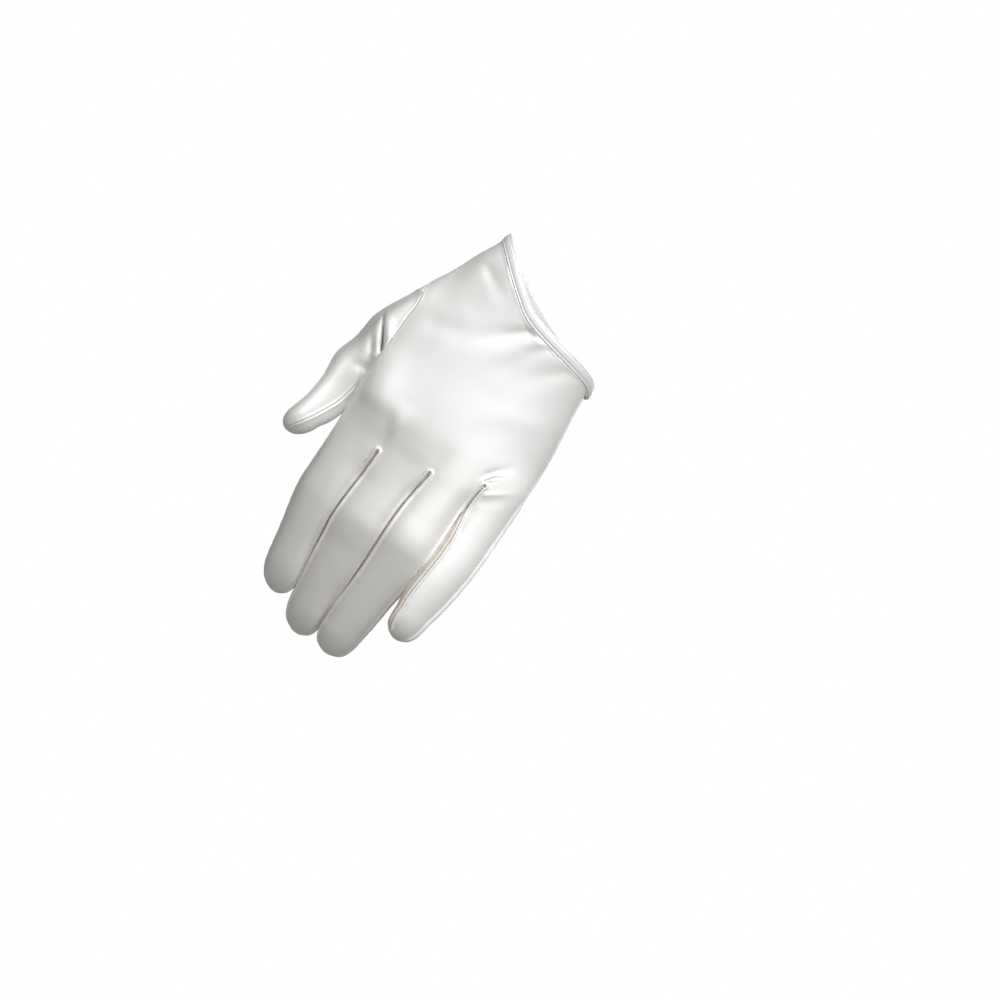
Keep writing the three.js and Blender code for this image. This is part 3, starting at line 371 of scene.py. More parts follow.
hand = {name: smooth_line(HAND["z"], HAND[name]) for name in HAND if name != "z"}
share_angle = {side: smooth_line(SHARES["v"], SHARES[side]) for side in ("back", "palm")}
edge_of = {
    side: smooth_line(edge["x"], edge["z"]) for side, edge in (("back", BACK_EDGE), ("palm", PALM_EDGE))
}


def hand_x(z, degrees):
    """x of the hand's section at an angle: its middle minus its reach times the cosine."""
    left, right = hand["left"](z), hand["right"](z)
    return (left + right) / 2 - (right - left) / 2 * np.cos(np.radians(degrees))


def hand_point(z, degrees):
    """A point of the hand at height z: a flattened ellipse.

    y is the middle minus the depth times the sine raised to a power, plus a lean across the hand,
    with a hollow in the palm. On the back are the folds, which start at the binding, and a bell
    curve for the shoulder beside the thumb.
    """
    x = hand_x(z, degrees)
    rise = signed_power(np.sin(np.radians(degrees)), HAND_FLAT)
    y = hand["middle"](z) - rise * np.where(rise > 0, hand["back"](z), hand["palm"](z)) + HAND_LEAN * x
    across = (x - PALM_HOLLOW["x"]) / PALM_HOLLOW["width"]
    down = (z - PALM_HOLLOW["z"]) / PALM_HOLLOW["height"]
    hollow = PALM_HOLLOW["depth"] * np.exp(-(across**2) - down**2)
    beside = (x - hand["left"](z) - SHOULDER["from_edge"]) / SHOULDER["width"]
    lift = fold_lift(HAND_FOLDS, x, z) + hand["shoulder"](z) * bell(beside)
    below = edge_of["back"](x) - BINDING["width"] - z
    lift = lift * smoothstep(2 * rise) * smoothstep(below / FOLD_RAMP)
    return np.stack((x, y - np.where(rise > 0, lift, hollow), z + 0 * x), -1)


def edge_height(degrees):
    """The opening's height at an angle.

    It is found by going part of the way to the edge's height at the hand's x, again and again.
    """
    degrees = np.asarray(degrees, float)
    over = (degrees + 180) % 360 - 180 > 0
    z = np.zeros_like(degrees)
    for _ in range(30):
        x = hand_x(z, degrees)
        z = lerp(z, np.where(over, edge_of["back"](x), edge_of["palm"](x)), 0.6)
    return z


def angle_at(side, v, z):
    """The angle at v, which runs from 0 on the thumb side to 4 at the little finger.

    Both side seams move it, and their pull fades evenly over the share beside them.
    """
    near, far = np.maximum(1 - v, 0), np.maximum(v - 3, 0)
    return share_angle[side](v) + hand["seam"](z) * near + hand["far_seam"](z) * far


slit_row = {
    side: smooth_line(range(5), (OUTER_ENDS[0], *(slit[side] for slit in SLITS), OUTER_ENDS[1]))
    for side in ("back", "palm")
}


def top_height(side, v):
    """The height of a panel's top at v, one binding's width under the opening's edge."""
    z = np.zeros_like(np.asarray(v, float))
    for _ in range(4):
        z = edge_height(angle_at(side, v, z)) - BINDING["width"]
    return z


top_samples = np.linspace(0, 4, 161)
panel_top = {side: smooth_line(top_samples, top_height(side, top_samples)) for side in ("back", "palm")}

# Fingers


def squared_ellipse(degrees, past):
    """The cosine and sine of a squared ellipse that is flatter on the back.

    Past the start of a tip they shrink by the root of one minus the share of the way raised to a power.
    """
    angle = np.radians(degrees)
    power = np.where(np.sin(angle) > 0, FINGER_FLAT, FINGER_ROUND)
    shrink = np.maximum(0, 1 - past**TIP_POWER) ** (1 / TIP_POWER)
    return signed_power(np.cos(angle), FINGER_ROUND) * shrink, signed_power(np.sin(angle), power) * shrink


for finger in FINGERS:
    finger["round"] = min(finger["z"])  # where the fingertip starts
    for name in ("left", "right", "y", "half"):
        finger[name] = smooth_line(finger["z"], finger[name])


def finger_point(finger, z, degrees):
    """A point of a finger: 0 degrees is its thumb side, 90 its back, 180 its little finger side.

    The section is a squared ellipse, sheared so that the finger faces a little aside. Past the start
    of the fingertip its middle goes to the tip.
    """
    at = np.maximum(z, finger["round"])
    past = np.clip((finger["round"] - z) / (finger["round"] - finger["tip"][2]), 0, 1)
    x = lerp((finger["left"](at) + finger["right"](at)) / 2, finger["tip"][0], past)
    y = lerp(finger["y"](at), finger["tip"][1], past)
    cosine, sine = squared_ellipse(degrees, past)
    aside = -(finger["right"](at) - finger["left"](at)) / 2 * cosine
    return np.stack((x + aside, y - finger["half"](at) * sine + finger["lean"] * aside, z + 0 * x), -1)


def seam_angles(finger, z):
    """The angles of a finger's seams at height z: from those on the finger to those at its tip."""
    full = finger["round"] + SEAM_TURN
    near = smoothstep((full - z) / (full - finger["tip"][2]))
    back, palm = finger["back"], finger["palm"]
    return {
        ("back", "left"): lerp(back[0], back[2], near),
        ("back", "right"): 180 - lerp(back[1], back[3], near),
        ("palm", "left"): -lerp(palm[0], palm[2], near),
        ("palm", "right"): -180 + lerp(palm[1], palm[3], near),
    }


def side_angle(finger, z, side, t):
    """The angle on a finger's side, from the back's seam at t of 0 to the palm's at 1."""
    seams = seam_angles(finger, z)
    turn = 360 if side == "right" else 0
    return lerp(seams["back", side], seams["palm", side] + turn, t)


def web_height(slit, t):
    """The height of a slit's end: a straight line from back to palm, with a sine hanging from it."""
    return lerp(slit["back"], slit["palm"], t) - slit["web"] * np.sin(np.pi * t)


def slit_rise(number, z):
    """How far the seams beside a slit stand up at height z."""
    return SLIT_RISE["height"] * smoothstep(1 - (SLITS[number]["back"] - z) / SLIT_RISE["fall"])


def slit_point(number, side, z, t):
    """A point in a slit, on the near finger's side.

    Both fingers share the point at the slit's end. Below it they part aside on a quarter circle, and
    more slowly from front to back. Their sides swell by a sine across the strip, stop at the plane
    between them, and sway by a full sine. At the back seam they are drawn out to a lip beside it.
    """
    slit, pair = SLITS[number], FINGERS[number : number + 2]
    both = [finger_point(f, z, side_angle(f, z, edge, t)) for f, edge in zip(pair, ("right", "left"))]
    if side == "right":
        (own, across), out, held = both, 1, 1
    else:
        (across, own), out, held = both, -1, smoothstep((z - slit["loose"]) / LIP_RELEASE + 0.5)
    below = np.clip((web_height(slit, t) - z) / CROTCH_RADIUS, 0, 1)
    parted = np.sqrt(1 - (1 - below) ** 2)
    hump = np.sin(np.pi * np.clip(t, 0, 1))
    contact = (pair[0]["right"](z) + pair[1]["left"](z)) / 2
    swollen = own[..., 0] * out + SIDE_PRESS["swell"] * hump
    pressed = np.minimum(swollen, contact * out - SIDE_PRESS["gap"] / 2) * out
    tip = max(finger["round"] for finger in pair)
    fade = smoothstep((z - tip + SIDE_PRESS["past"]) / SIDE_PRESS["fade"]) * parted
    own[..., 0] = lerp(own[..., 0], pressed, np.minimum(SIDE_PRESS["soon"] * hump, 1) * fade)
    lip = (contact * out - slit["lips"] / 2) * out
    own[..., 0] = lerp(own[..., 0], lip, (1 - smoothstep(t / LIP_REACH)) * fade * held)
    level = smoothstep((web_height(slit, t) - z) / SLIT_LEVEL)
    point = lerp(across, own, 0.5 + 0.5 * np.stack((parted, level, parted), -1))
    point[..., 0] += SIDE_PRESS["sway"] * np.sin(2 * np.pi * t) * fade
    point[..., 1] -= slit_rise(number, z) * (1 - t) ** 2
    return point


def strap_point(k, face, z, s, left_z, right_z):
    """A point across a finger's back or palm, where s runs from its left seam to its right.

    The finger's own section is moved by what its seams have moved, which fades as a power of s,
    and beside a slit's end it rises with the seam.
    """
    finger = FINGERS[k]

    def seam_angle(at, side):
        seams = seam_angles(finger, at)
        if k == 0 and side == "left":
            return seams["back", "left"]
        if k == 3 and side == "right" and face == "palm":
            return seams["back", "right"] - 360
        return seams[face, side]

    def shift(side, at):
        number = k if side == "right" else k - 1
        if not 0 <= number < len(SLITS):
            return 0
        t = np.full_like(at, 0.0 if face == "back" else 1.0)
        return slit_point(number, side, at, t) - finger_point(finger, at, seam_angle(at, side))

    def rise(number, at, far):
        if face == "palm" or not 0 <= number < len(SLITS):
            return 0
        near = np.clip(1 - far, 0, 1)
        return slit_rise(number, at) * (near ** SLIT_RISE["reach"] - near**SEAM_REACH)

    point = finger_point(finger, z, lerp(seam_angle(z, "left"), seam_angle(z, "right"), s))
    point[..., 1] -= rise(k - 1, left_z, s) + rise(k, right_z, 1 - s)
    s = s[..., None]
    return point + shift("left", left_z) * (1 - s) ** SEAM_REACH + shift("right", right_z) * s**SEAM_REACH


def from_side_seams(v):
    """0 at the hand's side seams, and a smooth step to 1 a little way from them."""
    return smoothstep(np.minimum(v, 4 - v) / SIDE_FADE)


def body_point(side, v, row):
    """A point of the hand's back or palm. Its last rows blend from the hand's section to the fingers'.

    Away from the slits the blend is the mean of those around the point, so that no crease runs up from
    a slit: each is taken at a place further along v, by a width that shrinks to none at the last row.
    """
    v, row = np.broadcast_arrays(np.asarray(v, float), np.asarray(row, float))
    z = lerp(panel_top[side](v), slit_row[side](v), row)
    point = hand_point(z, angle_at(side, v, z))
    width = BLEND_WIDTH * smoothstep((1 - row) / (1 - BLEND_START))
    total = 0
    for step in BLEND_STEPS:
        total = total + blend_offset(side, np.clip(v + step * width, 0, 4), row) / len(BLEND_STEPS)
    return point + lerp(blend_offset(side, v, row), total, from_side_seams(v)[..., None])


def blend_offset(side, v, row):
    """How far a point moves from the hand's section to its finger's: more towards the last row."""

    def height(at):
        return lerp(panel_top[side](at), slit_row[side](at), row)

    z = height(v)
    start = point = hand_point(z, angle_at(side, v, z))
    near = smoothstep((row - BLEND_START) / (1 - BLEND_START)) ** BLEND_POWER
    block = np.clip(np.floor(v), 0, 3)
    for k in range(4):
        on_finger = strap_point(k, side, z, v - k, height(k), height(k + 1))
        share = np.where(block == k, near, 0)[..., None]
        point = lerp(point, on_finger, share)
    return point - start


def slit_folds(points, v, amount=1.0):
    """The points with the folds round the third slit's end, which fade at the hand's side seams."""
    lift = fold_lift(SLIT_FOLDS, points[..., 0], points[..., 2])
    points[..., 1] -= lift * from_side_seams(v) * amount
    return points


# The thumb

thumb = {name: smooth_line(THUMB["at"], THUMB[name]) for name in THUMB if name != "at"}
THUMB_ROUND = THUMB["at"][-1]


def thumb_point(at, turn):
    """A point of the thumb: turn is 0 at its outer end, 90 on its back and 180 at its inner end.

    The section is a squared ellipse on the line between both ends, which shrinks to the tip.
    """
    base = np.minimum(at, THUMB_ROUND)
    inner = np.stack([thumb["inner_" + axis](base) for axis in "xyz"], -1)
    outer = np.stack([thumb["outer_" + axis](base) for axis in "xyz"], -1)
    past = np.maximum(0, (at - THUMB_ROUND) / (1 - THUMB_ROUND))
    cosine, sine = squared_ellipse(turn, past)
    centre = lerp((inner + outer) / 2, np.array(THUMB_TIP), past[..., None])
    over = (np.maximum(sine, 0) * thumb["back"](base))[..., None]
    under = (np.maximum(-sine, 0) * thumb["palm"](base))[..., None]
    return centre + (outer - inner) / 2 * cosine[..., None] + TOWARDS_BACK * over + TOWARDS_PALM * under


# One surface for the whole glove, so that neighbouring panels agree along their seams


class Surface:
    """Quads between shared points, each with its panel's name and its place on the cloth."""

    def __init__(self):
        self.places, self.quads, self.cloth, self.panels, self.crease_shades = [], [], [], [], []
        self.count = 0

    def grid(self, points, cloth, panel, flip=False, crease=0.0):
        """Adds a grid of points.

        cloth is each point's place on the cloth, and the crease shade how dark the painted shade of a
        crease is there. panel is a name, or an array of names for the grid's cells, '' for a hole.
        """
        rows, columns = points.shape[:2]
        number = self.count + np.arange(rows * columns).reshape(rows, columns)
        corners = [number[:-1, :-1], number[1:, :-1], number[1:, 1:], number[:-1, 1:]]
        quads = np.stack(corners[::-1] if flip else corners, -1).reshape(-1, 4)
        names = np.broadcast_to(np.asarray(panel), (rows - 1, columns - 1)).reshape(-1)
        self.places.append(points.reshape(-1, 3))
        self.cloth.append(np.broadcast_to(cloth, (rows, columns, 2)).reshape(-1, 2))
        self.crease_shades.append(np.broadcast_to(crease, (rows, columns)).reshape(-1))
        self.quads.append(quads[names != ""])
        self.panels.append(names[names != ""])
        self.count += rows * columns

    def weld(self):
        """Points in the same tiny cube become one, with the mean direction of their faces."""
        places, self.uv = np.concatenate(self.places), np.concatenate(self.cloth)
        self.corners, self.panel = np.concatenate(self.quads), np.concatenate(self.panels)
        near = np.round(places * WELD_STEPS).astype(int)
        _, first, same = np.unique(near, axis=0, return_index=True, return_inverse=True)
        self.points, self.faces = places[first], same.reshape(-1)[self.corners]
        self.crease = np.concatenate(self.crease_shades)[first]
        corner = self.points[self.faces]
        turn = np.cross(corner[:, 2] - corner[:, 0], corner[:, 3] - corner[:, 1])
        self.normals = np.zeros_like(self.points)
        for n in range(4):
            np.add.at(self.normals, self.faces[:, n], turn)
        self.normals = unit(self.normals)


def clustered(count, squeeze):
    """Even steps from 0 to 1, drawn towards both ends by a sine, where the seams need finer steps."""
    t = np.linspace(0, 1, count + 1)
    return t - squeeze * np.sin(2 * np.pi * t) / (2 * np.pi)


glove = Surface()
across = clustered(BLOCK_COLUMNS, SPREAD["columns"])
columns = np.concatenate([k + across[:-1] for k in range(4)] + [[4.0]])
body_rows = clustered(PALM_ROWS, SPREAD["rows"])


def palm_grid():
    """Where the palm's grid lies on v and row: even, but round the thumb's opening.

    The opening's rim is a half oval. The grid around it is relaxed: each point goes to the mean of
    its four neighbours, many times.
    """
    even_v, even_row = np.meshgrid(columns, body_rows)
    v, row = even_v.copy(), even_row.copy()
    heights = body_point("back", np.zeros(PALM_ROWS + 1), body_rows)[:, 2]
    first, last = (np.abs(heights - THUMB_HOLE[end]).argmin() for end in ("top", "bottom"))
    edge = int(BLOCK_COLUMNS * THUMB_HOLE["columns"])
    low, high = body_rows[first], body_rows[last]
    middle, tall = (low + high) / 2, (high - low) / 2
    inside = np.zeros_like(v, bool)
    inside[first : last + 1, : edge + 1] = True
    rim = inside.copy()
    rim[first + 1 : last, :edge] = False
    i, j = np.nonzero(rim)
    side = np.arctan2(j / edge, np.abs(body_rows[i] - middle) / tall)
    power = THUMB_HOLE["round"]
    v[i, j] = THUMB_HOLE["reach"] * np.sin(side) ** power
    row[i, j] = middle + tall * np.maximum(np.cos(side), 0) ** power * np.sign(body_rows[i] - middle)
    free = ~inside
    free[0] = free[-1] = False
    free[:, 0] = False
    free[:, 2 * BLOCK_COLUMNS :] = False
    relaxed = []
    for grid, even in ((v, even_v), (row, even_row)):
        offset = np.where(rim, grid - even, 0)
        for _ in range(RELAX_PASSES):
            mean = sum(np.roll(offset, step, axis) for axis in (0, 1) for step in (1, -1)) / 4
            offset = np.where(free, mean, offset)
        relaxed.append(even + offset)
    return *relaxed, first, last, edge


grid_v, grid_row = np.meshgrid(columns, body_rows)
back_places = slit_folds(body_point("back", grid_v, grid_row), grid_v)
glove.grid(back_places, np.stack((grid_v * SHARE_WIDTH, back_places[..., 2]), -1), "back_panel")

palm_v, palm_row, hole_first, hole_last, hole_edge = palm_grid()
palm_places = body_point("palm", palm_v, palm_row)
palm_names = np.full((PALM_ROWS, len(columns) - 1), "palm_panel")
palm_names[hole_first:hole_last, :hole_edge] = ""
glove.grid(palm_places, np.stack((palm_v * SHARE_WIDTH, palm_places[..., 2]), -1), palm_names, flip=True)


def finger_rows(finger, start):
    """Heights down a finger from its start: finer near the slit's end, and a sine round the fingertip."""
    down = np.linspace(0, 1, FINGER_ROWS + 1)[:, None] ** SPREAD["fingers"]
    turn = np.linspace(0, np.pi / 2, TIP_ROWS + 1)[1:, None]
    start = np.atleast_1d(start)[None, :]
    body = lerp(start, finger["round"], down)
    tip = lerp(finger["round"], finger["tip"][2], np.sin(turn)) + 0 * start
    return np.concatenate((body, tip))


def add_finger(k):
    """The back and the palm of one finger, each a grid between its two seams."""
    for face in ("back", "palm"):
        z = finger_rows(FINGERS[k], slit_row[face](k + across))
        left_z, right_z = z[:, :1] + 0 * z, z[:, -1:] + 0 * z
        s = np.broadcast_to(across, z.shape)
        points = strap_point(k, face, z, s, left_z, right_z)
        if face == "back":
            points = slit_folds(points, k + s)
        cloth = np.stack(((k + s) * SHARE_WIDTH, z), -1)
        glove.grid(points, cloth, face + "_panel", flip=face == "palm")


def add_strip(number, side):
    """Half of a slit's strip, on one of its fingers. Below its end the other panels meet there."""
    finger = FINGERS[number if side == "right" else number + 1]
    side_t = np.linspace(0, 1, SIDE_COLUMNS + 1)
    z = finger_rows(finger, web_height(SLITS[number], side_t))
    t = np.broadcast_to(side_t, z.shape)
    points = slit_folds(slit_point(number, side, z, t), number + 1.0, (1 - t) ** SLIT_FOLD_REACH)
    names = np.full((len(z) - 1, SIDE_COLUMNS), "strip_" + SLITS[number]["name"])
    end = FINGER_ROWS + int(TIP_ROWS * STRIP_END)
    names[end:, : SIDE_COLUMNS // 2] = "back_panel"
    names[end:, SIDE_COLUMNS // 2 :] = "palm_panel"
    glove.grid(points, np.stack((t * STRIP_WIDTH, z), -1), names, flip=side == "left")


for k in range(len(FINGERS)):
    add_finger(k)
for number in range(len(SLITS)):
    add_strip(number, "left")
    add_strip(number, "right")


def thumb_rim():
    """The thumb's opening, down the side seam and up round the palm, and each point's turn on the thumb.

    Down the seam the turns go from even ones towards those whose cosine falls evenly, so that the
    thumb's rows start level.
    """
    rim = np.concatenate(
        (
            back_places[hole_first:hole_last, 0],
            palm_places[hole_last, :hole_edge],
            palm_places[hole_last:hole_first:-1, hole_edge],
            palm_places[hole_first, hole_edge:0:-1],
            back_places[hole_first : hole_first + 1, 0],
        )
    )
    steps = hole_last - hole_first
    down = np.arange(steps) / steps
    level = np.degrees(np.arccos(signed_power(1 - 2 * down, 1 / FINGER_ROUND)))
    seam = lerp(180 * down, level, THUMB_LEVEL)
    return rim, np.concatenate((seam, np.linspace(180, 360, len(rim) - steps)))


def add_thumb():
    """The thumb's grid: a blend from the rim of its opening to the thumb's sections.

    On its back, folds and the seam's section lift it. Its last column is its first.
    """
    rim, rim_turn = thumb_rim()
    body = np.linspace(0, THUMB_ROUND, THUMB_ROWS + 1)
    tip = lerp(THUMB_ROUND, 1, np.sin(np.linspace(0, np.pi / 2, THUMB_TIP_ROWS + 1)[1:]))
    turn, at = np.meshgrid(rim_turn, np.concatenate((body, tip)))
    points = lerp(rim[None], thumb_point(at, turn), smoothstep(at / THUMB_BLEND)[..., None])
    x, z = points[..., 0], points[..., 2]
    facing = smoothstep(2 * np.sin(np.radians(turn))) * smoothstep(at / THUMB_FOLD_START)
    beside = np.abs(x - smooth_line(THUMB_SEAM["z"], THUMB_SEAM["x"])(z))
    seam = THUMB_SEAM["strength"] * smoothstep((THUMB_SEAM["top"] - z) / THUMB_SEAM["over"])
    lift = fold_lift(THUMB_FOLDS, x, z) + seam * seam_section(beside)
    # Painted shade in the bottom of the thumb's crease, darkest along the crease's line
    crease = np.clip(fold_lift(THUMB_CREASE_SHADE, x, z), 0, 1) * facing
    points = points + TOWARDS_BACK * (facing * lift)[..., None]
    points[:, -1] = points[:, 0]
    glove.grid(points, np.stack((turn * THUMB_GIRTH, points[..., 2]), -1), "thumb", crease=crease)


add_thumb()
glove.weld()


# Cloth


def edge_distance(points, seams, chunk=600):
    """The distance from each point to the nearest seam point, in pieces that fit in memory."""
    nearest = np.empty(len(points))
    for start in range(0, len(points), chunk):
        part = points[start : start + chunk]
        square = (part**2).sum(1)[:, None] + (seams**2).sum(1)[None] - 2 * part @ seams.T
        nearest[start : start + chunk] = np.sqrt(np.maximum(square.min(1), 0))
    return nearest


def free_edges(faces):
    """The edges that only one face has, in that face's order."""
    pairs = np.concatenate([faces[:, [n, (n + 1) % 4]] for n in range(4)])
    pairs = pairs[pairs[:, 0] != pairs[:, 1]]
    size = faces.max() + 1
    there, back = pairs[:, 0] * size + pairs[:, 1], pairs[:, 1] * size + pairs[:, 0]
    return pairs[~np.isin(there, back)]


def make_mesh(name, places, faces, uv):
    """A mesh object from points in millimetres and quads; a quad with two equal corners is a triangle."""
    keep = faces != np.roll(faces, -1, 1)
    keep[keep.sum(1) < 3] = False
    sizes = keep.sum(1)
    mesh = bpy.data.meshes.new(name)
    mesh.vertices.add(len(places))
    mesh.vertices.foreach_set("co", (places * MM).astype(np.float32).ravel())
    loops = faces[keep]
    mesh.loops.add(len(loops))
    mesh.loops.foreach_set("vertex_index", loops.astype(np.int32))
    sizes = sizes[sizes > 0]
    mesh.polygons.add(len(sizes))
    mesh.polygons.foreach_set("loop_start", (np.cumsum(sizes) - sizes).astype(np.int32))
    mesh.polygons.foreach_set("use_smooth", np.full(len(sizes), True))
    mesh.uv_layers.new(name="cloth").data.foreach_set("uv", (uv[keep] * MM).astype(np.float32).ravel())
    mesh.update(calc_edges=True)
    mesh.validate()
    piece = bpy.data.objects.new(name, mesh)
    bpy.context.scene.collection.objects.link(piece)
    return piece


def draw_in(points, normals, a, b):
    """How far a panel's points are drawn in, along its free edges from a to b: by half of the seam's gap.

    Each edge's own way in is the cross product of the normal and the edge. At a point it is the sum
    of those of its two edges over one plus their product, so that both edges move alike.
    """
    edge = points[b] - points[a]
    one, two = np.zeros_like(points), np.zeros_like(points)
    one[a] = unit(np.cross(normals[a], edge))
    two[b] = unit(np.cross(normals[b], edge))
    return SEAM_GAP / 2 * (one + two) / np.maximum(1 + (one * two).sum(1, keepdims=True), MITRE_FLOOR)


def seam_strength(points, panel):
    """How strong the seams' section is: it steps up towards the fingers, and down at each fingertip."""
    step = smoothstep((SEAM_STRENGTH["top"] - points[:, 2]) / SEAM_STRENGTH["over"])
    strong = lerp(SEAM_STRENGTH["faint"], 1, step * (panel != "thumb"))
    for finger in FINGERS:
        far = np.linalg.norm(points - np.array(finger["tip"]), axis=1)
        strong = strong * smoothstep((far - SEAM_STRENGTH["tip"]) / SEAM_STRENGTH["tip_over"])
    return strong


def cloth_panel(panel, name):
    """One panel with its thickness.

    Its outer face is drawn in at the seams by half of their gap, square to both edges at a corner.
    Beside a seam the cloth turns in and stands in a roll: a bell curve of the distance to the seam
    lowers it, and a second one raises it. Puckers are noise that fades away from the seam, and
    slow waves run through it all. The inner face is one cloth's thickness further in.
    Two numbers stay with each point for the material: how near it is to a roll's ridge, for a
    painted highlight there, and how deep in a crease, for painted shade.
    """
    chosen = glove.panel == panel
    uv = glove.uv[glove.corners[chosen]]
    used, faces = np.unique(glove.faces[chosen], return_inverse=True)
    faces = faces.reshape(-1, 4)
    points, normals = glove.points[used], glove.normals[used]
    a, b = free_edges(faces).T
    draw = draw_in(points, normals, a, b)
    far = edge_distance(points, np.concatenate((points[a], (points[a] + points[b]) / 2)))
    waves = PUCKER["height"] * noise(points, PUCKER["spacing"], PUCKER["seed"])
    waves *= bell(far / PUCKER["reach"])
    for height, size, seed in WAVES:
        waves += height * noise(points, size, seed)
    strong = seam_strength(points, panel)
    lift = seam_section(far) * strong + waves * smoothstep(far / PUCKER["start"])
    outer = points + normals * lift[:, None] + draw
    inner = points - normals * CLOTH + draw
    count = len(used)
    walls = np.stack((b, a, a + count, b + count), -1)
    quads = np.concatenate((faces, faces[:, ::-1] + count, walls))
    coordinates = np.concatenate((uv, uv[:, ::-1], np.zeros((len(walls), 4, 2))))
    piece = make_mesh(name, np.concatenate((outer, inner)), quads, coordinates)
    # Masks for painted light: a painted highlight on the rolls' ridges, and painted shade in the crease
    roll = seam_roll(far) * strong * (not panel.startswith("strip"))
    for kind, value in (("roll", roll), ("crease", glove.crease[used])):
        layer = piece.data.attributes.new(kind, "FLOAT", "POINT")
        layer.data.foreach_set("value", np.concatenate((value, 0 * value)).astype(np.float32))
    return piece


def binding():
    """The band round the opening: a closed profile carried round the hand's edge.

    The profile is a squared ellipse, with a bell curve's groove in its outer face for each stitch
    line, and thinned towards the sewn edge. Two sizes of noise wrinkle it.
    """
    degrees = np.linspace(0, 360, BINDING_STEPS, endpoint=False)
    edge = edge_height(degrees)
    low = hand_point(edge - BINDING["width"], degrees)
    ring = hand_point(edge, degrees)
    up = unit(ring - low)
    out = unit(np.cross(np.roll(ring, -2, 0) - np.roll(ring, 2, 0), up))
    half = BINDING["width"] / 2
    corner = bell((degrees - BINDING_CORNER["at"]) / BINDING_CORNER["width"])
    proud = BINDING_CORNER["proud"] * corner + BINDING["proud"] - CLOTH / 2
    middle = low + up * half + out * proud[:, None]
    turn = np.linspace(0, 2 * np.pi, BINDING["sides"], endpoint=False)
    high = signed_power(np.cos(turn), BINDING_SQUARE["high"]) * half
    thick = signed_power(np.sin(turn), BINDING_SQUARE["thick"]) * BINDING["thickness"] / 2
    outside = np.sin(turn) > 0
    for place, depth in STITCHES:
        thick -= outside * depth * bell((high - place) / STITCH_WIDTH)
    taper = smoothstep(-high / half * BINDING_TAPER["slope"] - BINDING_TAPER["start"])
    thick -= outside * BINDING_TAPER["depth"] * taper
    high = np.where(high < 0, high * (1 + BINDING["lap"] / half), high)
    points = middle[:, None] + up[:, None] * high[None, :, None] + out[:, None] * thick[None, :, None]
    wrinkle = sum(height * noise(points, size, seed) for height, size, seed in WRINKLES)
    points += out[:, None] * (wrinkle * np.sin(turn % np.pi))[..., None]
    count = len(turn)
    i, j = np.meshgrid(np.arange(BINDING_STEPS), np.arange(count), indexing="ij")
    i2, j2 = (i + 1) % BINDING_STEPS, (j + 1) % count
    quads = np.stack((i * count + j2, i2 * count + j2, i2 * count + j, i * count + j), -1).reshape(-1, 4)
    cloth = np.stack((i * BINDING_CLOTH["along"], j * BINDING_CLOTH["across"]), -1).reshape(-1, 2)
    return make_mesh("wrist_binding_satin", points.reshape(-1, 3), quads, cloth[quads])


# Materials


def add_node(tree, kind, inputs=None, **settings):
    """A new node with its settings. Each input is linked to a socket, or set to a value."""
    node = tree.nodes.new("ShaderNode" + kind)
    for name, value in settings.items():
        setattr(node, name, value)
    for name, value in (inputs or {}).items():
        if isinstance(value, bpy.types.NodeSocket):
            tree.links.new(value, node.inputs[name])
        else:
            node.inputs[name].default_value = value
    return node


# Painted light in the satin's colour: a painted highlight on a seam's roll, and painted shade in the
# bottom of a crease
PAINTED_LIGHT_TONES = {"roll": (0.97, 0.965, 0.95), "crease": (0.3, 0.26, 0.24)}
# The satin's patterns: how many to a metre, how they stretch, their detail and what they follow
CLOUDS = (55, (1, 1, 1), 3, "Object")
FLOATS = (2600, (1, 0.16, 1), 2, "UV")
SLUBS = (420, (1, 0.12, 1), 3, "UV")
CLOUD_ROUGHNESS = 0.12
SLUB_HEIGHT = 0.8
BUMP_DEPTH = 0.00006


def satin_group():
    """Satin's surface from the piece's own cloth map.

    The height is the sum of fine floats along the yarns and slubs, which are longer. The colour is
    the satin's with slow faint clouds, mixed with a painted highlight on rolls and painted shade in
    creases where the piece has them, and the roughness follows the same clouds.
    """
    group = bpy.data.node_groups.new("Satin weave", "ShaderNodeTree")
    face = group.interface
    for name, kind, value in (
        ("Colour", "NodeSocketColor", (0.8, 0.8, 0.8, 1)),
        ("Shade", "NodeSocketColor", (0.7, 0.7, 0.7, 1)),
        ("Roughness", "NodeSocketFloat", 0.35),
    ):
        face.new_socket(name=name, in_out="INPUT", socket_type=kind).default_value = value
    for name, kind in (("Colour", "Color"), ("Roughness", "Float"), ("Height", "Float")):
        face.new_socket(name=name, in_out="OUTPUT", socket_type="NodeSocket" + kind)
    given = group.nodes.new("NodeGroupInput").outputs
    made = group.nodes.new("NodeGroupOutput").inputs
    place = add_node(group, "TexCoord").outputs

    def pattern(scale, stretch, detail, source):
        mapping = add_node(group, "Mapping", {"Scale": stretch, "Vector": place[source]})
        inputs = {"Scale": scale, "Detail": detail, "Vector": mapping.outputs["Vector"]}
        return add_node(group, "TexNoise", inputs).outputs["Fac"]

    def scaled_sum(*inputs):
        return add_node(group, "Math", dict(enumerate(inputs)), operation="MULTIPLY_ADD").outputs[0]

    def mix(factor, a, b):
        inputs = {"Factor": factor, "A": a, "B": b}
        return add_node(group, "Mix", inputs, data_type="RGBA").outputs["Result"]

    slow, floats, slubs = pattern(*CLOUDS), pattern(*FLOATS), pattern(*SLUBS)
    colour = mix(slow, given["Shade"], given["Colour"])
    # Painted light: the rolls' ridges are lightened as a painted highlight, and creases darkened as
    # painted shade
    for kind, tone in PAINTED_LIGHT_TONES.items():
        mask = add_node(group, "Attribute", attribute_name=kind)
        colour = mix(mask.outputs["Fac"], colour, (*tone, 1))
    group.links.new(colour, made["Colour"])
    group.links.new(scaled_sum(slow, CLOUD_ROUGHNESS, given["Roughness"]), made["Roughness"])
    group.links.new(scaled_sum(slubs, SLUB_HEIGHT, floats), made["Height"])
    return group


weave = satin_group()


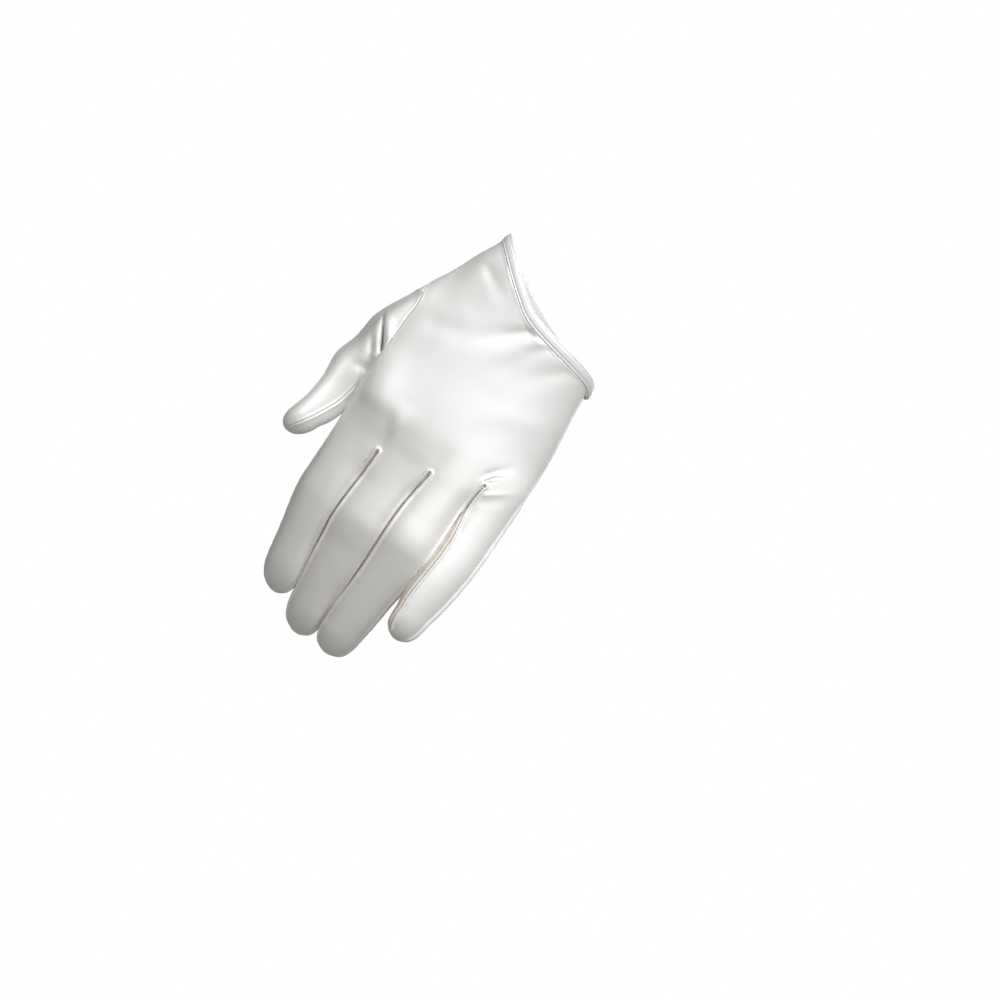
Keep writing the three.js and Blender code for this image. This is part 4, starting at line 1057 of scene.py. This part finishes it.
def satin(name, colour, shade, roughness, bump):
    """A satin of one colour: the weave group drives its colour, roughness and bump."""
    material = bpy.data.materials.new(name)
    material.use_nodes = True
    tree = material.node_tree
    tree.nodes.clear()
    inputs = {"Colour": (*colour, 1), "Shade": (*shade, 1), "Roughness": roughness}
    surface = add_node(tree, "Group", inputs, node_tree=weave)
    height = surface.outputs["Height"]
    relief = add_node(tree, "Bump", {"Strength": bump, "Distance": BUMP_DEPTH, "Height": height})
    inputs = {
        "Base Color": surface.outputs["Colour"],
        "Roughness": surface.outputs["Roughness"],
        "Normal": relief.outputs["Normal"],
        "Metallic": 0.3,
        "Sheen Weight": 0.15,
        "Sheen Roughness": 0.4,
        "Sheen Tint": (1, 1, 1, 1),
    }
    shader = add_node(tree, "BsdfPrincipled", inputs)
    add_node(tree, "OutputMaterial", {"Surface": shader.outputs["BSDF"]})
    return material


ivory_satin = satin("Ivory satin", (0.85, 0.845, 0.83), (0.81, 0.805, 0.79), 0.43, 0.5)
# The strips' satin is darker and warmer than the ivory: painted shade and a painted warm reflection in
# the slits between the fingers
shaded_strip_satin = satin("Satin of the strips with painted shade", (0.8, 0.75, 0.68), (0.74, 0.69, 0.62), 0.42, 0.5)
binding_satin = satin("Satin of the binding", (0.86, 0.875, 0.87), (0.82, 0.835, 0.83), 0.42, 0.8)

# Each panel of cloth: its node, name, satin and slot, and the width, length and area of its flat cut in
# centimetres
PIECES = (
    ("back_panel", "back_of_hand", ivory_satin, "satin", 10.2, 18.8, 150.0),
    ("palm_panel", "palm_of_hand", ivory_satin, "satin", 10.2, 18.8, 147.0),
    ("thumb", "set_in_thumb", ivory_satin, "satin", 8.6, 8.4, 44.5),
    ("strip_index_middle", "side_strip_index_middle", shaded_strip_satin, "side_strips", 2.0, 15.6, 16.7),
    ("strip_middle_ring", "side_strip_middle_ring", shaded_strip_satin, "side_strips", 2.0, 17.0, 19.2),
    ("strip_ring_little", "side_strip_ring_little", shaded_strip_satin, "side_strips", 2.0, 15.4, 17.6),
)
for node, name, material, slot, wide, long, area in PIECES:
    piece = cloth_panel(node, name)
    piece.data.materials.append(material)
    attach(piece, "root")
    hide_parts(node)
band = binding()
band.data.materials.append(binding_satin)
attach(band, "root")
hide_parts("wrist_binding")


# Light and camera

AIM = Vector((0.0314, 0.0, -0.0757))
FRAME_WIDTH = 0.42
CAMERA_AWAY = 3.0
SENSOR_WIDTH = 36
POOL_LAMP_SIZE = 0.008
RIGHT, UP, BACK = Vector((0.788, 0, 0.6157)), Vector((-0.6157, 0, 0.788)), Vector((0, -1, 0))


def hang_lamp(light, target, away):
    """Puts a light into the scene at a place that far away from its target, turned to it."""
    lamp = bpy.data.objects.new(light.name, light)
    lamp.location = Vector(target) + Vector(away)
    lamp.rotation_euler = (-Vector(away)).to_track_quat("-Z", "Y").to_euler()
    bpy.context.scene.collection.objects.link(lamp)


for name, distance, direction, size, power, colour in (
    ("key", 1.3, (0.08, -0.68, 0.7), 0.8, 15.2, (0.955, 0.975, 1.0)),
    ("front", 1.6, (0.1, -1.0, 0.1), 0.9, 3.2, (0.98, 0.985, 1.0)),
    ("left", 1.2, (-0.8, -0.6, 0.7), 0.5, 1.6, (1, 1, 1)),
    ("behind", 1.5, (0.3, 0.9, 0.4), 1.0, 7.0, (1, 1, 1)),
):
    light = bpy.data.lights.new(name, "AREA")
    light.shape, light.size, light.energy, light.color = "SQUARE", size, power, colour
    hang_lamp(light, AIM, distance * Vector(direction))

# Small lamps whose soft-edged pools of light lie on the thumb and on the outer fingers
for name, target, away, degrees, power in (
    ("thumb", (-0.058, 0.0, -0.084), (-0.45, -0.75, -0.05), 2.7, 15),
    ("outer fingers", (0.021, 0.0, -0.088), (0.3, -0.85, -0.1), 5.0, 3.4),
):
    light = bpy.data.lights.new(name, "SPOT")
    light.energy, light.spot_size, light.spot_blend = power, np.radians(degrees), 1.0
    light.shadow_soft_size = POOL_LAMP_SIZE
    hang_lamp(light, target, away)


def studio_world():
    """A dim warm surround that lights the glove, seen by the camera as plain white."""
    world = bpy.data.worlds.new("Studio")
    bpy.context.scene.world = world
    world.use_nodes = True
    tree = world.node_tree
    tree.nodes.clear()
    lit = add_node(tree, "Background", {"Color": (1.0, 0.975, 0.92, 1), "Strength": 0.29})
    seen = add_node(tree, "Background", {"Color": (1, 1, 1, 1)})
    camera_ray = add_node(tree, "LightPath").outputs["Is Camera Ray"]
    mix = add_node(tree, "MixShader", {0: camera_ray, 1: lit.outputs[0], 2: seen.outputs[0]})
    add_node(tree, "OutputWorld", {"Surface": mix.outputs[0]})
    bpy.context.scene.view_settings.view_transform = "Standard"


def photo_camera():
    """The camera square to the hand's back, turned so that the fingers point down and to the left."""
    lens = bpy.data.cameras.new("camera")
    lens.sensor_width = SENSOR_WIDTH
    lens.lens = SENSOR_WIDTH * CAMERA_AWAY / FRAME_WIDTH
    lens.clip_end = 50
    camera = bpy.data.objects.new("camera", lens)
    turned = Matrix((RIGHT, UP, BACK)).transposed().to_4x4()
    camera.matrix_world = Matrix.Translation(AIM + CAMERA_AWAY * BACK) @ turned
    bpy.context.scene.collection.objects.link(camera)
    bpy.context.scene.camera = camera


studio_world()
photo_camera()
